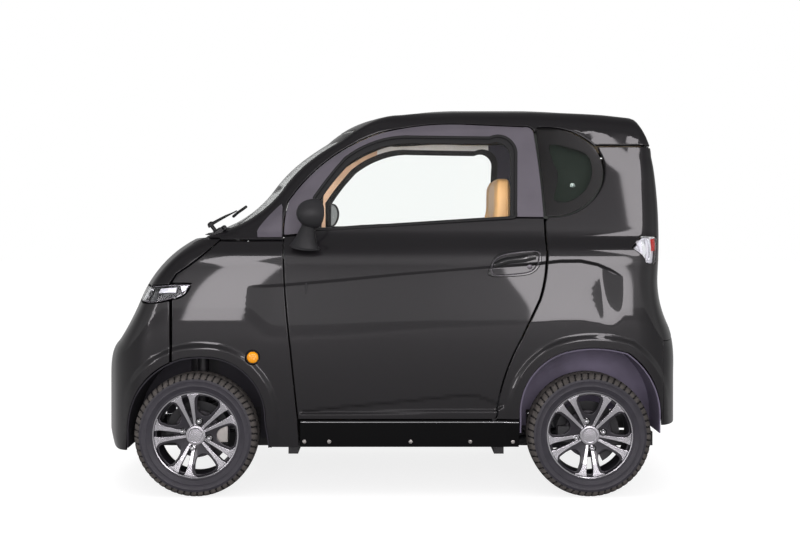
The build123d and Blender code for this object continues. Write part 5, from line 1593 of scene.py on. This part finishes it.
ring = [on_wheel(k * tau / 96, 160) for k in range(96)]
bumps = 13.5 + 0.5 * np.cos(np.arange(96) * tau / 96 * 40)
wheel_parts = [tube("wheel_rim", ring, bumps, RUBBER, 16, closed=True, up=wheel_axis)]
for k, a in enumerate((0.0, pi, 1.5 * pi)):
    spoke = [on_wheel(a, r, rise) for r, rise in ((34, 2), (70, -3), (110, -6), (150, -2),
                                                  (158, 0))]
    way = fair(spoke, 20)
    wheel_parts.append(tube(f"wheel_spoke{k}", way, taper(way, [0, 0.4, 1], [20, 15, 13]),
                            GLOSS_BLACK, 12, flat=0.4, up=wheel_axis))
hub_pad = spin("wheel_hub", [(0.01, 13), (20, 12.6), (36, 10.5), (44, 6), (47, 0), (46.5, -14),
                             (40, -26), (0.01, -26)], (0, 0, 0), RUBBER, 48, closed=False)
wheel_parts.append(placed(hub_pad, wheel_axis, HUB))
shaft = tube("wheel_shaft", [HUB - wheel_axis * 12, HUB - wheel_axis * 78], 8.6, STEEL, 20)
wheel_parts.append(shaft)
attach(join(wheel_parts, "steering_wheel_detail"), "steering_wheel_body", "steering_rubber",
       "steering_wheel")

# dashboard: padded top roll, fascia, hood over the instruments, vents and a screen
DASH = fair([(598, 890), (596, 985), (560, 998), (470, 992), (380, 985), (318, 968),
             (303, 935), (312, 900), (352, 862), (392, 800), (430, 764), (560, 762)], 96, True)


def dash_slice(y):
    """Dashboard section at y, its corners drawn in towards the ends."""
    end = 1 - 0.16 * smooth(abs(y), 400, 474)
    x = 596 + (DASH[:, 0] - 596) * end
    z = DASH[:, 1] - 14 * smooth(abs(y), 380, 474) * (DASH[:, 1] > 900)
    return np.stack([np.clip(x, 301, 599), np.full(len(x), float(y)), np.clip(z, 761, 999)], 1)


dash = swept("dash_shell", [dash_slice(y) for y in
                            (-473, -468, -455, -430, -400, -300, -200, -100, 0, 100, 200, 300,
                             400, 430, 455, 468, 473)], BLACK, sharp=60)
dash_parts = [dash]
for k, y in enumerate((-420, -90, 40, 430)):
    vent_ring = [(304, y + 30 * np.sign(cos(a)) * abs(cos(a)) ** 0.5,
                  938 + 15 * np.sign(sin(a)) * abs(sin(a)) ** 0.5)
                 for a in np.linspace(0, tau, 36, endpoint=False)]
    dash_parts.append(tube(f"vent_ring{k}", np.array(vent_ring) + (3.0, 0, 0), 3.0, CHROME, 8,
                           closed=True, up=(1, 0, 0)))
    for m in range(3):
        z = 929 + 9 * m
        dash_parts.append(tube(f"vent_slat{k}_{m}", [(306, y - 26, z), (306, y + 26, z)], 2.6,
                               GLOSS_BLACK, 8, up=(0, 0, 1)))
cluster = soft_box("cluster", lambda q: np.stack([
    330 + q[:, 0] * 22, 235 + q[:, 1] * 96, 962 + q[:, 2] * (34 - 8 * np.abs(q[:, 1]))], 1),
    GLOSS_BLACK, power=4.0, cells=20)
dash_parts.append(cluster)
screen_box = soft_box("dash_screen", lambda q: np.stack([
    312 + q[:, 0] * 8 + q[:, 2] * 8, q[:, 1] * 62, 880 + q[:, 2] * 36], 1), GLOSS_BLACK,
    power=12.0, cells=16)
dash_parts.append(moved(screen_box, Matrix.Translation((0.012, -0.02, 0.0))))
attach(join(dash_parts, "dashboard_detail"), "body", "black_plastic", "dashboard")

# wiper: spindle cap, arm and blade
blade_way = fair([(700, 150, 1152), (684, 90, 1172), (672, 20, 1187), (662, -28, 1199)], 24)
arm_way = fair([(771, 350, 1117), (752, 290, 1133), (726, 210, 1153), (706, 130, 1168),
                (694, 80, 1178)], 30)
wiper_parts = [
    tube("wiper_arm", arm_way, taper(arm_way, [0, 0.12, 0.5, 0.7, 1], [13, 10, 8, 5, 4]),
         BLACK, 10, flat=0.7, up=(0.6, 0, 0.8)),
    tube("wiper_blade", blade_way, 5.0, RUBBER, 8, flat=1.3, up=(0.6, 0, 0.8))]
WIPER_POST_LEAN = radians(36)
post_way = (sin(WIPER_POST_LEAN), 0, cos(WIPER_POST_LEAN))
cap = spin("wiper_cap", [(0.01, 17), (7, 16.5), (12, 13), (15, 6), (15.5, -2), (8.4, -2),
                         (8.4, -26), (0.01, -26)], (0, 0, 0), BLACK, 28, closed=False)
wiper_parts.append(placed(cap, post_way, (768, 351, 1113)))
attach(join(wiper_parts, "wiper_detail"), "body", "black_plastic", "wiper")

# carried CAD nodes keep their shape and get a finish
FINISH = {"floor_tub": CARPET, "chassis_rails": CHASSIS, "battery_box": CASE,
          "drive_motor": CASE, "front_suspension": CHASSIS, "rear_axle": CHASSIS,
          "knuckle_left": STEEL, "knuckle_right": STEEL, "hinge_posts": CHASSIS,
          "seat_frames": CHASSIS, "steering_column": BLACK, "cowl_panel": BLACK,
          "arch_liners": LINER_PAINTED_LIT}
for node_name, finish in FINISH.items():
    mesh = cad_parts[node_name].data
    mesh.materials.clear()
    mesh.materials.append(finish)
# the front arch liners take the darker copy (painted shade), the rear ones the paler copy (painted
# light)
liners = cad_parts["arch_liners"].data
liners.materials.append(LINER_PAINTED_SHADE)
for face in liners.polygons:
    face.material_index = 1 if face.center.x > 0 else 0


# ----------------------------------------------------------- camera and lights
camera = bpy.data.objects.new("camera", bpy.data.cameras.new("camera"))
bpy.context.collection.objects.link(camera)
camera.location = (0.0, 5.70, 1.128)
camera.rotation_euler = (radians(90), 0, radians(180))
camera.data.sensor_width = 36.0
camera.data.lens = 55.94
camera.data.shift_x, camera.data.shift_y = 0.0125, -0.0556
camera.data.clip_start = 0.05
bpy.context.scene.camera = camera


def area_light(name, place, target, size, power):
    """Rectangular panel light at a place in metres, facing a target."""
    data = bpy.data.lights.new(name, "AREA")
    data.shape = "RECTANGLE"
    data.size, data.size_y = size
    data.energy = power
    data.color = (1.0, 0.95, 0.985)
    lamp = bpy.data.objects.new(name, data)
    bpy.context.collection.objects.link(lamp)
    lamp.location = place
    aim = Vector(target) - Vector(place)
    lamp.rotation_euler = aim.to_track_quat("-Z", "Y").to_euler()
    return lamp


# two soft lights that show in no reflection, then the panels whose reflections show on the
# paint; the one at the nose casts no shadow
area_light("top_softbox", (0.2, 0.6, 4.2), (0, 0, 0.8), (5.0, 3.0), 70).visible_glossy = False
area_light("front_fill", (0.6, 7.5, 1.9), (0, 0, 0.9), (5.0, 2.6), 130).visible_glossy = False
tall_panel = area_light("tall_panel_front", (1.73, 9.0, 1.9), (0.7, 0, 0.9), (0.64, 4.4), 74)
tall_panel.rotation_euler.rotate_axis("Z", radians(-6))
area_light("low_panel_rear", (-2.05, 9.0, 2.05), (-0.7, 0, 0.9), (1.15, 3.7), 104)
area_light("high_panel_rear", (-3.0, 9.0, 6.3), (-0.9, 0, 1.2), (0.55, 4.2), 60)
nose_panel = area_light("nose_panel", (4.2, 5.8, 1.2), (1.0, 0.6, 0.7), (0.9, 1.8), 34)
nose_panel.data.use_shadow = False

# backdrop: white to the camera and through glass; to reflections it dims upwards and behind
# the car
world = bpy.data.worlds.new("studio")
bpy.context.scene.world = world
world.use_nodes = True
tree = world.node_tree
rays = add_node(tree, "LightPath").outputs
seen = add_node(tree, "Math", {0: rays["Is Camera Ray"], 1: rays["Is Transmission Ray"]},
                operation="MAXIMUM")
toward = add_node(tree, "TexCoord")
parted = add_node(tree, "SeparateXYZ", {"Vector": toward.outputs["Generated"]}).outputs
ceiling = add_node(tree, "MapRange", {"From Min": -0.05, "From Max": 0.55, "To Min": 0.8,
                                      "To Max": 0.22, "Value": parted["Z"]})
behind = add_node(tree, "MapRange", {"From Min": -0.25, "From Max": 0.25, "To Min": 0.4,
                                     "To Max": 1.0, "Value": parted["Y"]})
seen_bright = add_node(tree, "Math", {0: ceiling.outputs["Result"],
                                      1: behind.outputs["Result"]}, operation="MULTIPLY")
gloss = add_node(tree, "Mix", {"A": 0.7, "Factor": rays["Is Glossy Ray"],
                               "B": seen_bright.outputs[0]})
strength = add_node(tree, "Mix", {"B": 1.0, "Factor": seen.outputs[0],
                                  "A": gloss.outputs["Result"]})
back = tree.nodes["Background"]
back.inputs["Color"].default_value = (1, 1, 1, 1)
set_input(tree, back, "Strength", strength.outputs["Result"])

# floor: matt, lifted to near white where the camera sees it, and a little in reflections
FLOOR_REACH = 30.0
floor_mesh = bpy.data.meshes.new("floor")
floor_mesh.from_pydata([(x * FLOOR_REACH, y * FLOOR_REACH, 0)
                        for x, y in ((-1, -1), (1, -1), (1, 1), (-1, 1))], [], [(0, 1, 2, 3)])
floor = bpy.data.objects.new("floor", floor_mesh)
bpy.context.collection.objects.link(floor)
floor_mat = bpy.data.materials.new("floor")
floor_mat.use_nodes = True
tree = floor_mat.node_tree
shader = tree.nodes["Principled BSDF"]
for key, value in (("Base Color", (0.3, 0.3, 0.3, 1)), ("Roughness", 0.9),
                   ("Specular IOR Level", 0.0), ("Emission Color", (1, 1, 1, 1))):
    shader.inputs[key].default_value = value
rays = add_node(tree, "LightPath").outputs
either = add_node(tree, "Math", {0: rays["Is Camera Ray"], 1: rays["Is Transmission Ray"]},
                  operation="MAXIMUM")
partly = add_node(tree, "Math", {0: rays["Is Glossy Ray"], 1: 0.08, 2: either.outputs[0]},
                  operation="MULTIPLY_ADD")
lift = add_node(tree, "MapRange", {"To Min": 0.0, "To Max": 0.82, "Value": partly.outputs[0]})
set_input(tree, shader, "Emission Strength", lift.outputs["Result"])
floor_mesh.materials.append(floor_mat)

bpy.context.scene.view_settings.view_transform = "Standard"
